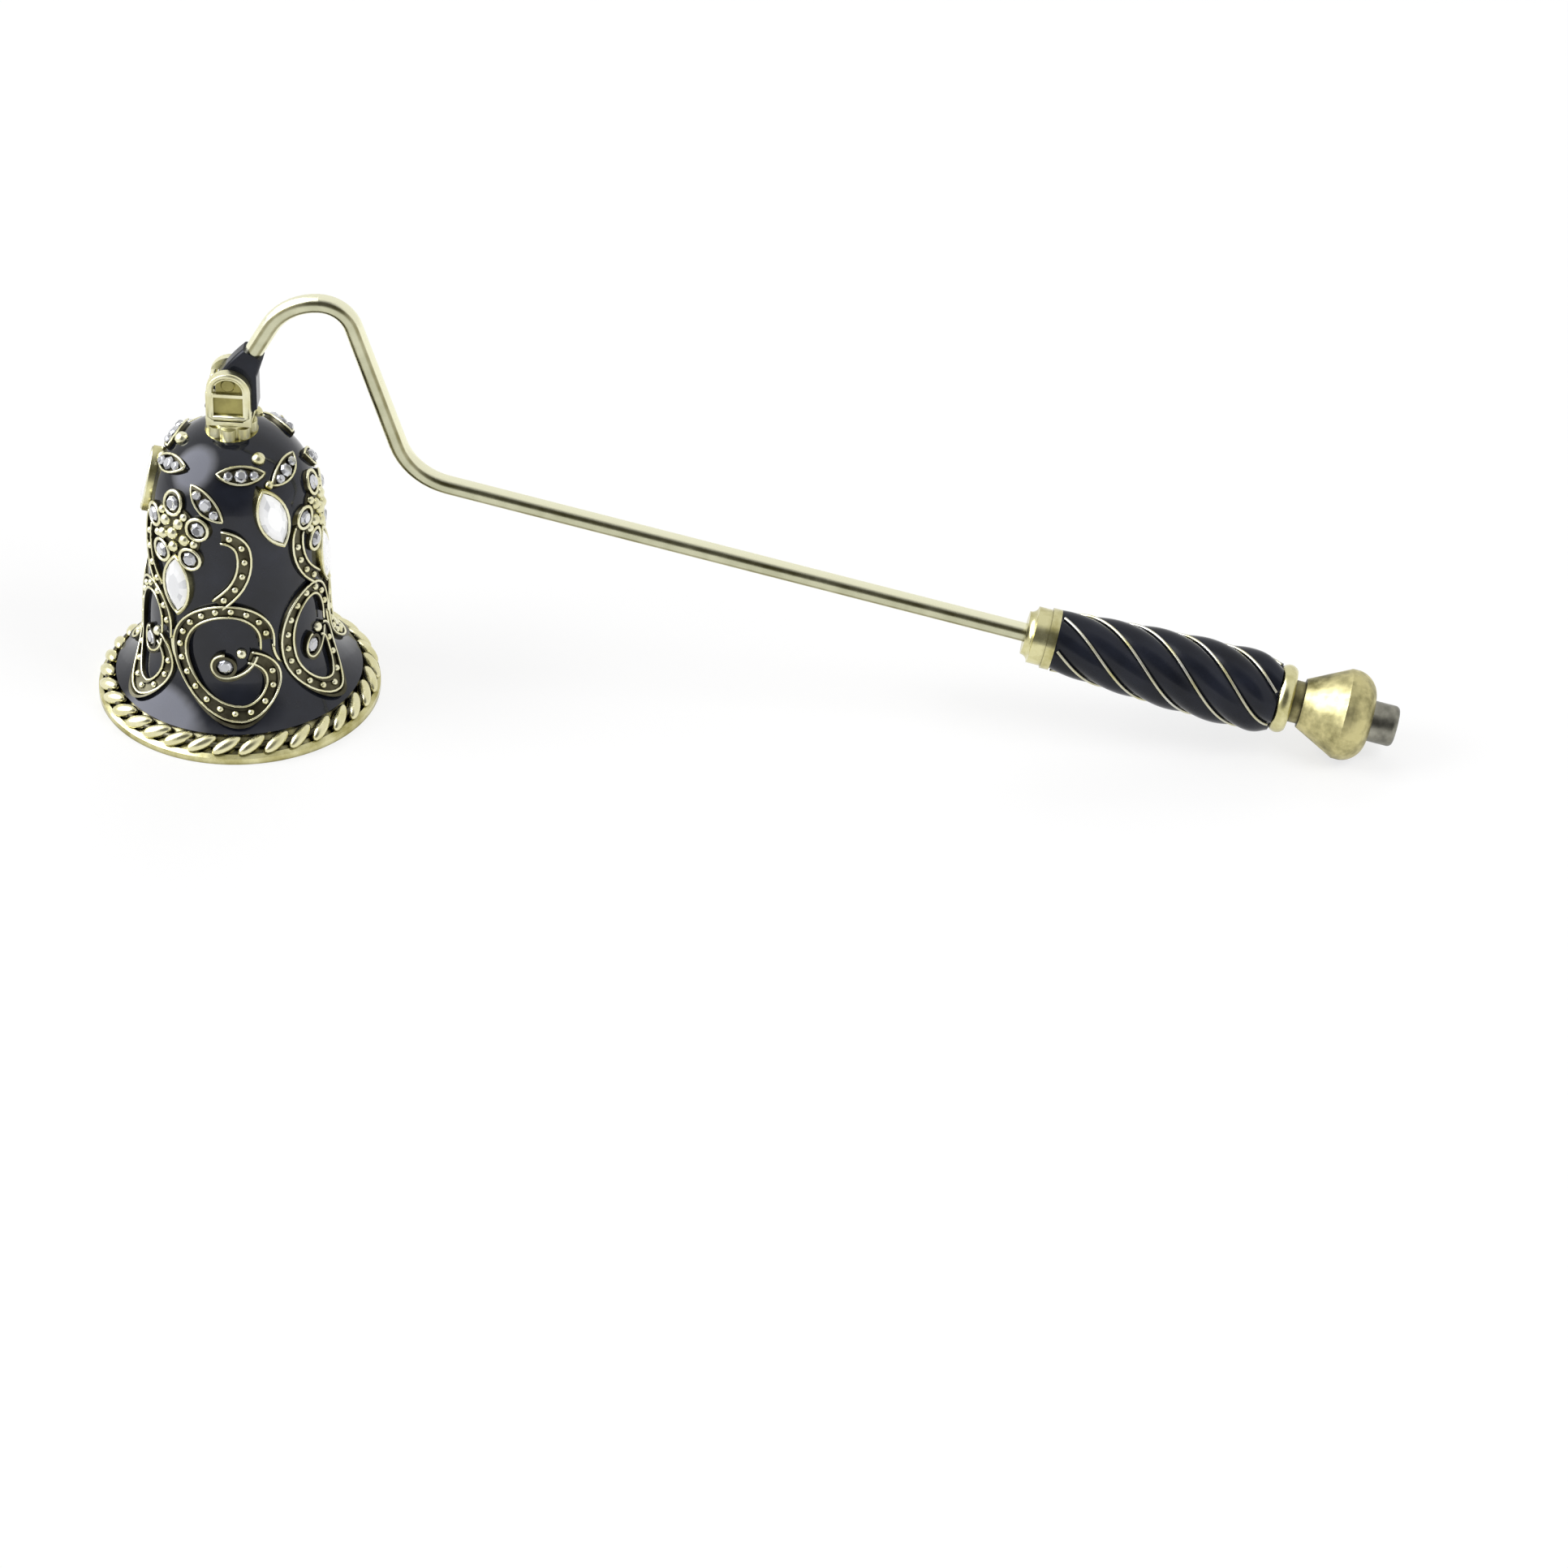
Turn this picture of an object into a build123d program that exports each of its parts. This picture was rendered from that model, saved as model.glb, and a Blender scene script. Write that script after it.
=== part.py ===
from build123d import *

import os
from math import acos, asin, atan2, ceil, cos, degrees, pi, radians, sin, sqrt

# Candle snuffer: a jewelled bell hinged on a long hooked arm with a twisted grip.
# The origin is the middle of the bell's mouth, Z is up and the arm runs off along X.
# The snuffer stands on the bell's lip, and the pommel rests on the same surface.

# Bell: radii and heights of the enamel's face
rim_radius = 24.0
lip_height = 1.6
lip_setback = 0.7
lip_round = 0.5
rope_top_height = 4.1
waist_radius = 15.4
waist_height = 14.0
flare_radius = 12.8
shoulder_radius = 14.0
shoulder_height = 40.0
dome_radius = 13.3
crown_radius = 4.5
enamel_thickness = 0.35
bell_wall = 1.2

# Rope border
rope_strand = 1.8
rope_core = 1.0
rope_lobe = 5.0
rope_tip = 0.8
rope_pitch = 4.25
rope_lean = 31
rope_groove = 0.6
seat_gap = 0.05

# Relief on the bell
floor_height = 0.35
border_height = 0.75
border_width = 0.35
relief_depth = 3.0
relief_rise = 1.5
front_azimuth = -84
sector_count = 3
bead_gap = 0.03
cup_wall = 0.5
stone_gap = 0.03
stone_girdle_share = 0.3
stone_table_share = 0.55

# Medallions: each is a spiral of arcs, given as turns and as shares of its half width
medallion_count = 6
medallion_azimuth = -3.3
medallion_height = 15.45
narrow_stretch = 0.7
scroll_size = 8.15
scroll_start_share = (0.77, 0.45)
scroll_radius_share = (0.74, 1.02, 1.28, 0.60, 0.62)
scroll_turns = (90, 90, 90, 90, 75)
curl_start_share = (-0.07, 0.14)
curl_radius_share = (0.27, 0.67)
curl_turns = (180, 75)
band_width = 2.5
curl_width = 0.9
band_bead = 1.25
band_bead_pitch = 2.65
band_bead_share = 0.93
curl_bead = 1.9
curl_bead_share = (0.27, 0.16)
medallion_stone = 3.0
medallion_stone_share = (-0.07, -0.13)
stone_lift = 0.1

# Stems that rise from the medallions, alternately bowed right and left
stem_size = 12.5
stem_azimuth = 5
stem_mirror_azimuth = 52
stem_start_share = (-0.22, 3.16)
stem_radius_share = (0.29, 0.76)
stem_turns = (-80, -55)
stem_foot_share = 0.2
stem_width = 2.6
stem_bead = 1.25
stem_bead_count = 6

# Flowers on the shoulder
flower_azimuth = -42
flower_height = 38.2
petal_count = 5
petal_turn = 96
petal_radius = 2.2
petal_band = 0.55
petal_reach = 5.2
flower_heart = 1.9
flower_bead = 1.5
flower_bead_reach = 4.2
flower_stone = 2.3

# Pointed leaves: azimuth, height and turn of each, three sets round the bell
leaf_length = 8.4
leaf_width = 3.4
leaf_stone = 1.4
leaf_heart_stone = 2.2
leaf_stone_reach = 2.2
shoulder_leaf = (-18, 44.6, -40)
crown_leaf_left = (10.5, 48.7, -4)
crown_leaf_right = (54, 47.7, 18)
sprig_bead = 2.4
sprig_bead_place = (34, 50.2)
sprig_knot = 1.6
sprig_knot_place = (33.5, 46.9)

# Large pointed-oval stones: azimuth, height and turn of each, three sets round the bell
navette_length = 10.0
navette_width = 5.0
navette_girdle = 0.6
navette_crown = 0.8
navette_table_share = 0.5
setting_wall = 0.45
setting_height = 0.7
tilted_navette = (30, 42, 14)
upright_navette = (-38, 28.5, 3)

# Crown yoke and hinge
pivot_height = 62.2
ear_radius = 3.8
ear_thickness = 1.3
ear_recess = 0.6
ear_frame = 1.3
ear_bar = 0.6
ear_bar_drop = 1.9
ear_drop = 1.2
ear_notch = 1.5
ear_notch_drop = 0.6
ear_notch_reach = 2.1
collar_flange = 2.0
collar_height = 2.4
collar_neck_radius = 3.6
collar_petals = 8
collar_petal_radius = 1.3
collar_petal_reach = 3.1
yoke_base = 0.8
tongue_thickness = 3.6
tongue_gap = 0.08
tongue_heel = 6.8
pin_diameter = 1.6
pin_fit = 0.02
pin_running_fit = 0.06
pin_head = 2.4
pin_head_height = 0.35
stud_diameter = 3.0
stud_fit = 0.05
washer_diameter = 7.0
washer_thickness = 0.8
crown_nut_width = 5.5
crown_nut_height = 2.4
stud_end = 0.6

# Arm: the rod's path in the XZ plane, from the tongue to the handle
rod_diameter = 3.2
rod_fit = 0.05
hook_reach = 15.4
hook_height = 77.75
hook_rise = 61
hook_front_radius = 9.6
hook_back_radius = 5.9
hook_root = 5.9
shank_slope = 72.6
shank_length = 23.7
elbow_radius = 11.5
rod_run = 100.2
tenon_diameter = 2.0
tenon_length = 3.0
tongue_left = 4.3
tongue_right = 4.7
tongue_bow = 0.9
tongue_top_wall = 0.3
tongue_round = 0.9

# Handle, front to rear
ferrule_length = 5.2
ferrule_front = 3.7
ferrule_round = 1.3
ferrule_step = 0.35
ferrule_band = 1.5
grip_length = 38.4
grip_front = 5.2
grip_rear = 6.95
grip_lobes = 5
grip_lobe_rise = 0.95
grip_lead = 40.5
grip_swell_turn = 100
grip_step_turn = 16
grip_end_drop = 1.0
grip_end_share = 0.12
grip_core_radius = 3.4
channel_width = 0.7
spiral_wire = 0.5
wire_gap = 0.02
ring_radius = 5.85
ring_width = 2.6
neck_radius = 3.6
neck_length = 1.9
pommel_radius = 7.75
pommel_cone = 7.1
pommel_ridge = 1.3
pommel_back = 3.6
pommel_foot = 4.2
end_nut_radius = 3.5
end_nut_length = 4.5
end_nut_round = 0.9
end_nut_thread = 3.3

overrun = 1.0

# Outline of the bell: the flare and the dome are arcs that run into the tapered wall
taper = atan2(waist_radius - shoulder_radius, shoulder_height - waist_height)
flare_centre = (waist_radius + flare_radius * cos(taper), waist_height + flare_radius * sin(taper))
dome_centre = (shoulder_radius - dome_radius * cos(taper), shoulder_height - dome_radius * sin(taper))
flare_end = asin((flare_centre[1] - rope_top_height) / flare_radius)
dome_end = acos((crown_radius - dome_centre[0]) / dome_radius)
crown_height = dome_centre[1] + dome_radius * sin(dome_end)


def flare_point(angle, offset):
    """Place a point of the flare, moved out from the enamel's face by the offset."""
    reach = flare_radius - offset
    return (flare_centre[0] - reach * cos(angle), flare_centre[1] - reach * sin(angle))


def dome_point(angle, offset):
    """Place a point of the dome, moved out from the enamel's face by the offset."""
    reach = dome_radius + offset
    return (dome_centre[0] + reach * cos(angle), dome_centre[1] + reach * sin(angle))


def draw_bell_side(offset):
    """Draw the bell's side from the rope border to the crown, moved out by the offset."""
    flare_middle = flare_point((flare_end + taper) / 2, offset)
    dome_middle = dome_point((dome_end + taper) / 2, offset)
    flare = ThreePointArc(flare_point(flare_end, offset), flare_middle, flare_point(taper, offset))
    wall_line = Line(flare @ 1, dome_point(taper, offset))
    dome = ThreePointArc(wall_line @ 1, dome_middle, dome_point(dome_end, offset))
    return flare, dome


def bell_layer(inner, outer):
    """Turn the layer between two offsets from the enamel's face."""
    with BuildPart() as layer:
        with BuildSketch(Plane.XZ):
            with BuildLine():
                inner_flare, inner_dome = draw_bell_side(inner)
                outer_flare, outer_dome = draw_bell_side(outer)
                Line(inner_flare @ 0, outer_flare @ 0)
                Line(inner_dome @ 1, outer_dome @ 1)
            make_face()
        revolve(axis=Axis.Z)
    return layer.part


def bell_normal(height):
    """Give the angle of the enamel's outward normal above the horizontal at a height."""
    if height < waist_height:
        return asin((flare_centre[1] - height) / flare_radius)
    if height > shoulder_height:
        return asin((height - dome_centre[1]) / dome_radius)
    return taper


def bell_radius(height):
    """Give the radius of the enamel's face at a height."""
    if height < waist_height:
        return flare_centre[0] - flare_radius * cos(bell_normal(height))
    if height > shoulder_height:
        return dome_centre[0] + dome_radius * cos(bell_normal(height))
    rise_share = (height - waist_height) / (shoulder_height - waist_height)
    return waist_radius + (shoulder_radius - waist_radius) * rise_share


def bell_plane(azimuth, height, lift=0, turn=0):
    """Lay a plane on the enamel, facing out, at an azimuth counted from the front."""
    around = radians(front_azimuth + azimuth)
    slope = bell_normal(height)
    radius = bell_radius(height) + lift * cos(slope)
    origin = (radius * cos(around), radius * sin(around), height + lift * sin(slope))
    facing = Vector(cos(slope) * cos(around), cos(slope) * sin(around), sin(slope))
    across = Vector(-sin(around), cos(around), 0)
    lay = across * cos(radians(turn)) + facing.cross(across) * sin(radians(turn))
    return Plane(origin=origin, x_dir=lay, z_dir=facing)


def upright_plane(azimuth):
    """Stand a plane on the bell's axis, facing out at an azimuth counted from the front."""
    around = radians(front_azimuth + azimuth)
    return Plane(origin=(0, 0, 0), x_dir=(-sin(around), cos(around), 0), z_dir=(cos(around), sin(around), 0))


def round_bell(piece, count):
    """Repeat a piece evenly round the bell's axis."""
    with BuildPart() as ring:
        with PolarLocations(0, count):
            add(piece)
    return ring.part


def half_bead(size):
    """Turn a half bead that stands on its flat side."""
    with BuildPart() as bead:
        with BuildSketch(Plane.XZ):
            with BuildLine():
                flat = Line((0, 0), (size / 2, 0))
                rise = CenterArc((0, 0), size / 2, 0, 90)
                Line(rise @ 1, flat @ 0)
            make_face()
        revolve(axis=Axis.Z)
    return bead.part


def faceted_stone(size, height):
    """Cut a round stone with a flat back, a low girdle, sloping sides and a table."""
    with BuildPart() as stone:
        with BuildSketch(Plane.XZ):
            with BuildLine():
                girdle = (size / 2, height * stone_girdle_share)
                table = (size / 2 * stone_table_share, height)
                Polyline((0, 0), (size / 2, 0), girdle, table, (0, height), close=True)
            make_face()
        revolve(axis=Axis.Z)
    return stone.part


def set_on_bell(piece, places, lift):
    """Set copies of a piece on the bell at places that start with azimuth and height."""
    return [bell_plane(place[0], place[1], lift).location * piece for place in places]


def seen_place(azimuth, across, height):
    """Turn a distance across, seen from an azimuth, into a place on the bell."""
    return (azimuth + degrees(asin(across / bell_radius(height))), height)


floor_layer = bell_layer(0, floor_height)
border_layer = bell_layer(0, border_height)
bell_core = bell_layer(-shoulder_radius / 2, 0)

# Bell casting: dome, wall, flare, lip and the rope's groove in one open shell
inner_offset = -(enamel_thickness + bell_wall)
lip_top = (rim_radius - lip_setback, lip_height)
lip_inside = (lip_top[0] - bell_wall, 0)
seat_top = flare_point(flare_end, -enamel_thickness)
seat_length = sqrt((lip_top[0] - seat_top[0]) ** 2 + (lip_top[1] - seat_top[1]) ** 2)
seat_along = ((lip_top[0] - seat_top[0]) / seat_length, (lip_top[1] - seat_top[1]) / seat_length)
groove_across = (seat_along[1] * rope_groove, -seat_along[0] * rope_groove)
groove_top = (seat_top[0] + groove_across[0], seat_top[1] + groove_across[1])
groove_low = (lip_top[0] + groove_across[0], lip_top[1] + groove_across[1])
with BuildPart() as bell_shell:
    with BuildSketch(Plane.XZ):
        with BuildLine():
            in_flare, in_dome = draw_bell_side(inner_offset)
            out_flare, out_dome = draw_bell_side(-enamel_thickness)
            crown_edge = dome_point(dome_end, 0)
            Polyline(in_dome @ 1, (0, (in_dome @ 1).Y), (0, crown_height), crown_edge, out_dome @ 1)
            lip_corner = (rim_radius, lip_height - lip_round)
            groove = Polyline(out_flare @ 0, groove_top, groove_low, lip_top)
            Polyline(groove @ 1, lip_corner, (rim_radius, 0), lip_inside, in_flare @ 0)
        make_face()
    revolve(axis=Axis.Z)
    with Locations((0, 0, crown_height)):
        Hole(stud_diameter / 2 + stud_fit, depth=crown_height - (in_dome @ 1).Y + overrun)
bell_shell.part.label = "bell_shell"
crown_underside = (in_dome @ 1).Y

# Black enamel over the casting
with BuildPart() as bell_enamel:
    add(bell_layer(-enamel_thickness, 0))
bell_enamel.part.label = "bell_enamel"

# Rope border: slanted lobes on a core ring, lying in the groove between enamel and lip
rope_lift = rope_strand / 2 + seat_gap - rope_groove
rope_radius = (seat_top[0] + lip_top[0]) / 2 - seat_along[1] * rope_lift
rope_height = (seat_top[1] + lip_top[1]) / 2 + seat_along[0] * rope_lift
rope_count = round(2 * pi * rope_radius / rope_pitch)

with BuildPart() as rope_lobe_shape:
    with BuildSketch(Plane.XZ):
        with BuildLine():
            flat = Line((-rope_lobe / 2, 0), (rope_lobe / 2, 0))
            tip = Line(flat @ 1, (rope_lobe / 2, rope_tip / 2))
            back = ThreePointArc(tip @ 1, (0, rope_strand / 2), (-rope_lobe / 2, rope_tip / 2))
            Line(back @ 1, flat @ 0)
        make_face()
    revolve(axis=Axis.X)


def rope_place(number):
    """Place a lobe of the rope: leaned across the border, its back turned out."""
    around = 2 * pi * number / rope_count
    tangent = Vector(-sin(around), cos(around), 0)
    climb = Vector(-seat_along[0] * cos(around), -seat_along[0] * sin(around), -seat_along[1])
    lay = tangent * cos(radians(rope_lean)) + climb * sin(radians(rope_lean))
    middle = (rope_radius * cos(around), rope_radius * sin(around), rope_height)
    return Plane(origin=middle, x_dir=lay, z_dir=tangent.cross(climb)).location


with BuildPart() as rope_border:
    with BuildSketch(Plane.XZ):
        with Locations((rope_radius, rope_height)):
            Circle(rope_core / 2)
    revolve(axis=Axis.Z)
    add([rope_place(number) * rope_lobe_shape.part for number in range(rope_count)])
rope_border.part.label = "rope_border"


def arc_chain(start, heading, radii, turns):
    """Draw tangent arcs one after another, each with its radius and its turn in degrees."""
    place = start
    for radius, turn in zip(radii, turns):
        arc = JernArc(place, (cos(radians(heading)), sin(radians(heading))), radius, turn)
        place = arc @ 1
        heading = heading + turn
    return place, heading


def scaled(shares, size, height=0):
    """Turn a pair of shares into a place, in the given size, above a height."""
    return (shares[0] * size, height + shares[1] * size)


def raise_relief(plane, reach, sketch_floor, sketch_border):
    """Raise a low floor and higher borders from the enamel, from two sketches on one plane."""
    with BuildPart() as floor:
        with BuildSketch(plane):
            add(sketch_floor)
        extrude(amount=reach)
        add(floor_layer, mode=Mode.INTERSECT)
    with BuildPart() as border:
        with BuildSketch(plane):
            add(sketch_border)
        extrude(amount=reach)
        add(border_layer, mode=Mode.INTERSECT)
        add(floor.part)
    return border.part


def draw_pointed_oval(length, width):
    """Draw a pointed oval from two arcs, its long way along the sketch's first axis."""
    with BuildSketch() as oval:
        with BuildLine():
            ThreePointArc((-length / 2, 0), (0, width / 2), (length / 2, 0))
            ThreePointArc((-length / 2, 0), (0, -width / 2), (length / 2, 0))
        make_face()
    return oval.sketch


def raise_block(plane, reach, outline):
    """Raise a plain block from an outline, to cut one ornament back from another."""
    with BuildPart() as block:
        with BuildSketch(plane):
            add(outline)
        extrude(amount=reach)
    return block.part


# Outlines of the large stones and the flowers, which the other ornaments stop short of
navette_outer = draw_pointed_oval(navette_length + 4 * setting_wall, navette_width + 2 * setting_wall)
navette_seat = draw_pointed_oval(navette_length + 4 * stone_gap, navette_width + 2 * stone_gap)
navette_outline = draw_pointed_oval(navette_length, navette_width)
navette_table = draw_pointed_oval(navette_length * navette_table_share, navette_width * navette_table_share)
navette_places = (tilted_navette, upright_navette)
with BuildPart() as navette_blocks:
    for azimuth, height, turn in navette_places:
        plane = bell_plane(azimuth, height, -relief_depth, turn + 90)
        add(raise_block(plane, relief_depth + relief_rise, navette_outer))
with BuildSketch() as flower_floor:
    Circle(petal_reach)
    with PolarLocations(petal_reach, petal_count, petal_turn):
        Circle(petal_radius)
with BuildSketch() as flower_border:
    with PolarLocations(petal_reach, petal_count, petal_turn):
        Circle(petal_radius)
        Circle(petal_radius - petal_band, mode=Mode.SUBTRACT)
flower_plane = bell_plane(flower_azimuth, flower_height, -relief_depth)
with BuildPart() as flower_block:
    add(raise_block(flower_plane, relief_depth + relief_rise, flower_floor.sketch))
navette_zone = round_bell(navette_blocks.part, sector_count)
flower_zone = round_bell(flower_block.part, sector_count)


def in_oval(place, centre, half_across, half_rise):
    """Tell whether a place lies in an upright oval round a centre on the bell."""
    between = (place[0] - centre[0] + 180) % 360 - 180
    across = radians(between) * bell_radius(centre[1])
    rise = place[1] - centre[1]
    return (across / half_across) ** 2 + (rise / half_rise) ** 2 < 1


def keep_clear(places, size, by_flowers=True):
    """Leave out the beads that would meet a large stone or, unless they are its own, a flower."""
    kept = []
    flower_half = petal_reach + petal_radius + size / 2
    half_across = navette_width / 2 + setting_wall + size / 2
    half_rise = navette_length / 2 + 2 * setting_wall + size / 2
    for place in places:
        met = False
        for sector in range(sector_count):
            around = 360 * sector / sector_count
            flower_place = (flower_azimuth + around, flower_height)
            met = met or by_flowers and in_oval(place, flower_place, flower_half, flower_half)
            for azimuth, height, turn in navette_places:
                met = met or in_oval(place, (azimuth + around, height), half_across, half_rise)
        if not met:
            kept.append(place)
    return kept


# Medallions, wide and narrow by turns: a bordered band that spirals in, and a thin curl round a stone
def scroll_line(start_share, heading, radius_share, turns, stretch):
    """Draw a chain of arcs in the medallion's size, squeezed sideways where it is a narrow one."""
    with BuildLine() as line:
        start = scaled(start_share, scroll_size, medallion_height)
        arc_chain(start, heading, [share * scroll_size for share in radius_share], turns)
    if stretch == 1:
        return line.line
    return scale(line.line, by=(stretch, 1, 1))


def band_line(stretch):
    """Draw the middle line of a medallion's band."""
    return scroll_line(scroll_start_share, 90, scroll_radius_share, scroll_turns, stretch)


def squeezed_place(share, stretch):
    """Find a place in a medallion from its shares."""
    return scaled((share[0] * stretch, share[1]), scroll_size, medallion_height)


def medallion_relief(azimuth, stretch):
    """Raise one medallion: its band with two borders, its curl and its stone's cup."""
    band = band_line(stretch)
    curl = scroll_line(curl_start_share, 180, curl_radius_share, curl_turns, stretch)
    stone_place = squeezed_place(medallion_stone_share, stretch)
    with BuildSketch() as floor:
        trace(band, band_width)
        trace(curl, curl_width)
        with Locations(stone_place):
            Circle(medallion_stone / 2 + stone_gap, mode=Mode.SUBTRACT)
    with BuildSketch() as border:
        trace(band, band_width)
        trace(band, band_width - 2 * border_width, mode=Mode.SUBTRACT)
        trace(curl, curl_width)
        with Locations(stone_place):
            Circle(medallion_stone / 2 + stone_gap + cup_wall)
            Circle(medallion_stone / 2 + stone_gap, mode=Mode.SUBTRACT)
    return raise_relief(upright_plane(azimuth), rim_radius + overrun, floor.sketch, border.sketch)


medallion_turn = 360 / medallion_count
medallion_kinds = ((medallion_azimuth, 1), (medallion_azimuth + medallion_turn, narrow_stretch))
with BuildPart() as medallion_pair:
    for azimuth, stretch in medallion_kinds:
        add(medallion_relief(azimuth, stretch))
    add(navette_zone, mode=Mode.SUBTRACT)
with BuildPart() as scroll_medallions:
    add(round_bell(medallion_pair.part, sector_count))
scroll_medallions.part.label = "scroll_medallions"

band_places = []
curl_places = []
cup_places = []
for azimuth, stretch in medallion_kinds:
    curl_places.append(seen_place(azimuth, *squeezed_place(curl_bead_share, stretch)))
    cup_places.append(seen_place(azimuth, *squeezed_place(medallion_stone_share, stretch)))
    band_wire = Wire(band_line(stretch).edges())
    bead_count = round(band_bead_share * band_wire.length / band_bead_pitch)
    for number in range(bead_count):
        point = band_wire @ (band_bead_share * (number + 1 / 2) / bead_count)
        band_places.append(seen_place(azimuth, point.X, point.Y))
with BuildPart() as medallion_bead_set:
    add(set_on_bell(half_bead(band_bead), keep_clear(band_places, band_bead), floor_height + bead_gap))
    add(set_on_bell(half_bead(curl_bead), curl_places, stone_lift))
with BuildPart() as medallion_beads:
    add(round_bell(medallion_bead_set.part, sector_count))
medallion_beads.part.label = "medallion_beads"

with BuildPart() as medallion_stone_set:
    add(set_on_bell(faceted_stone(medallion_stone, border_height), cup_places, stone_lift))
with BuildPart() as medallion_crystals:
    add(round_bell(medallion_stone_set.part, sector_count))
medallion_crystals.part.label = "medallion_crystals"


# Stems: bordered bands bowed to one side, three each way
def stem_line(side):
    """Draw a stem's middle line, bowed to the right or, mirrored, to the left."""
    with BuildLine() as path:
        start = (stem_start_share[0] * stem_size * side, stem_start_share[1] * stem_size)
        radii = [share * stem_size for share in stem_radius_share]
        place, heading = arc_chain(start, 90 - 90 * side, radii, [turn * side for turn in stem_turns])
        PolarLine(place, stem_foot_share * stem_size, heading)
    return path


def stem_relief(side, azimuth):
    """Raise one stem with its two borders."""
    path = stem_line(side)
    with BuildSketch() as floor:
        trace(path.line, stem_width)
    with BuildSketch() as border:
        trace(path.line, stem_width)
        trace(path.line, stem_width - 2 * border_width, mode=Mode.SUBTRACT)
    return raise_relief(upright_plane(azimuth), rim_radius + overrun, floor.sketch, border.sketch)


def stem_places(side, azimuth):
    """Space the beads along a stem."""
    wire = stem_line(side).wire()
    points = [wire @ ((number + 0.5) / stem_bead_count) for number in range(stem_bead_count)]
    return [seen_place(azimuth, point.X, point.Y) for point in points]


stem_sides = ((1, stem_azimuth), (-1, stem_mirror_azimuth))
with BuildPart() as stem_set:
    for side, azimuth in stem_sides:
        add(stem_relief(side, azimuth))
    add(scroll_medallions.part, mode=Mode.SUBTRACT)
    add(navette_zone, mode=Mode.SUBTRACT)
    add(flower_zone, mode=Mode.SUBTRACT)
with BuildPart() as scroll_stems:
    add(round_bell(stem_set.part, sector_count))
scroll_stems.part.label = "scroll_stems"

with BuildPart() as stem_bead_set:
    for side, azimuth in stem_sides:
        bead_places = keep_clear(stem_places(side, azimuth), stem_bead)
        add(set_on_bell(half_bead(stem_bead), bead_places, floor_height + bead_gap))
with BuildPart() as stem_beads:
    add(round_bell(stem_bead_set.part, sector_count))
stem_beads.part.label = "stem_beads"

# Flowers: ring petals round a heart, a stone in each petal and beads between them
flower = raise_relief(flower_plane, relief_depth + relief_rise, flower_floor.sketch, flower_border.sketch)
with BuildPart() as flower_rosettes:
    add(round_bell(flower, sector_count))
    add(navette_zone, mode=Mode.SUBTRACT)
flower_rosettes.part.label = "flower_rosettes"


def flower_places(reach, turn):
    """Spread places round the flower's heart, found on the bell from their offsets."""
    places = []
    for number in range(petal_count):
        angle = radians(360 * number / petal_count + petal_turn + turn)
        height = flower_height + reach * sin(angle)
        places.append(seen_place(flower_azimuth, reach * cos(angle), height))
    return places


between_petals = 180 / petal_count
with BuildPart() as flower_bead_set:
    bead_places = keep_clear(flower_places(flower_bead_reach, between_petals), flower_bead, False)
    add(set_on_bell(half_bead(flower_bead), bead_places, floor_height + bead_gap))
    add(set_on_bell(half_bead(flower_heart), [(flower_azimuth, flower_height)], floor_height + bead_gap))
with BuildPart() as flower_beads:
    add(round_bell(flower_bead_set.part, sector_count))
flower_beads.part.label = "flower_beads"

with BuildPart() as flower_stone_set:
    stone_places = flower_places(petal_reach, 0)
    add(set_on_bell(faceted_stone(flower_stone, border_height), stone_places, floor_height + stone_lift))
with BuildPart() as flower_crystals:
    add(round_bell(flower_stone_set.part, sector_count))
flower_crystals.part.label = "flower_crystals"


# Leaves: bordered pointed ovals, three in each sector, with two beads in the crown's sprig
leaf_places = (shoulder_leaf, crown_leaf_left, crown_leaf_right)
leaf_floor = draw_pointed_oval(leaf_length, leaf_width)
leaf_border = leaf_floor - draw_pointed_oval(leaf_length - 4 * border_width, leaf_width - 2 * border_width)
with BuildPart() as leaf_set:
    for azimuth, height, turn in leaf_places:
        plane = bell_plane(azimuth, height, -relief_depth, turn)
        add(raise_relief(plane, relief_depth + relief_rise, leaf_floor, leaf_border))
    add(set_on_bell(half_bead(sprig_bead), [sprig_bead_place], stone_lift))
    add(set_on_bell(half_bead(sprig_knot), [sprig_knot_place], stone_lift))
    add(flower_zone, mode=Mode.SUBTRACT)
    add(navette_zone, mode=Mode.SUBTRACT)
    add(scroll_stems.part, mode=Mode.SUBTRACT)
with BuildPart() as leaf_sprigs:
    add(round_bell(leaf_set.part, sector_count))
leaf_sprigs.part.label = "leaf_sprigs"

with BuildPart() as leaf_stone_set:
    for azimuth, height, turn in leaf_places:
        plane = bell_plane(azimuth, height, floor_height + stone_lift, turn)
        for step in (-1, 0, 1):
            offset = Location((step * leaf_stone_reach, 0, 0))
            stone_size = leaf_stone if step else leaf_heart_stone
            add(plane.location * offset * faceted_stone(stone_size, border_height))
with BuildPart() as leaf_crystals:
    add(round_bell(leaf_stone_set.part, sector_count))
leaf_crystals.part.label = "leaf_crystals"

# Large stones: a thin wall cut to the enamel's face, and a stone with a girdle and a crown
with BuildPart() as setting_set:
    for azimuth, height, turn in navette_places:
        with BuildSketch(bell_plane(azimuth, height, -relief_depth, turn + 90)):
            add(navette_outer)
            add(navette_seat, mode=Mode.SUBTRACT)
        extrude(amount=relief_depth + setting_height)
    add(bell_core, mode=Mode.SUBTRACT)
with BuildPart() as navette_settings:
    add(round_bell(setting_set.part, sector_count))
navette_settings.part.label = "navette_settings"

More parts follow.
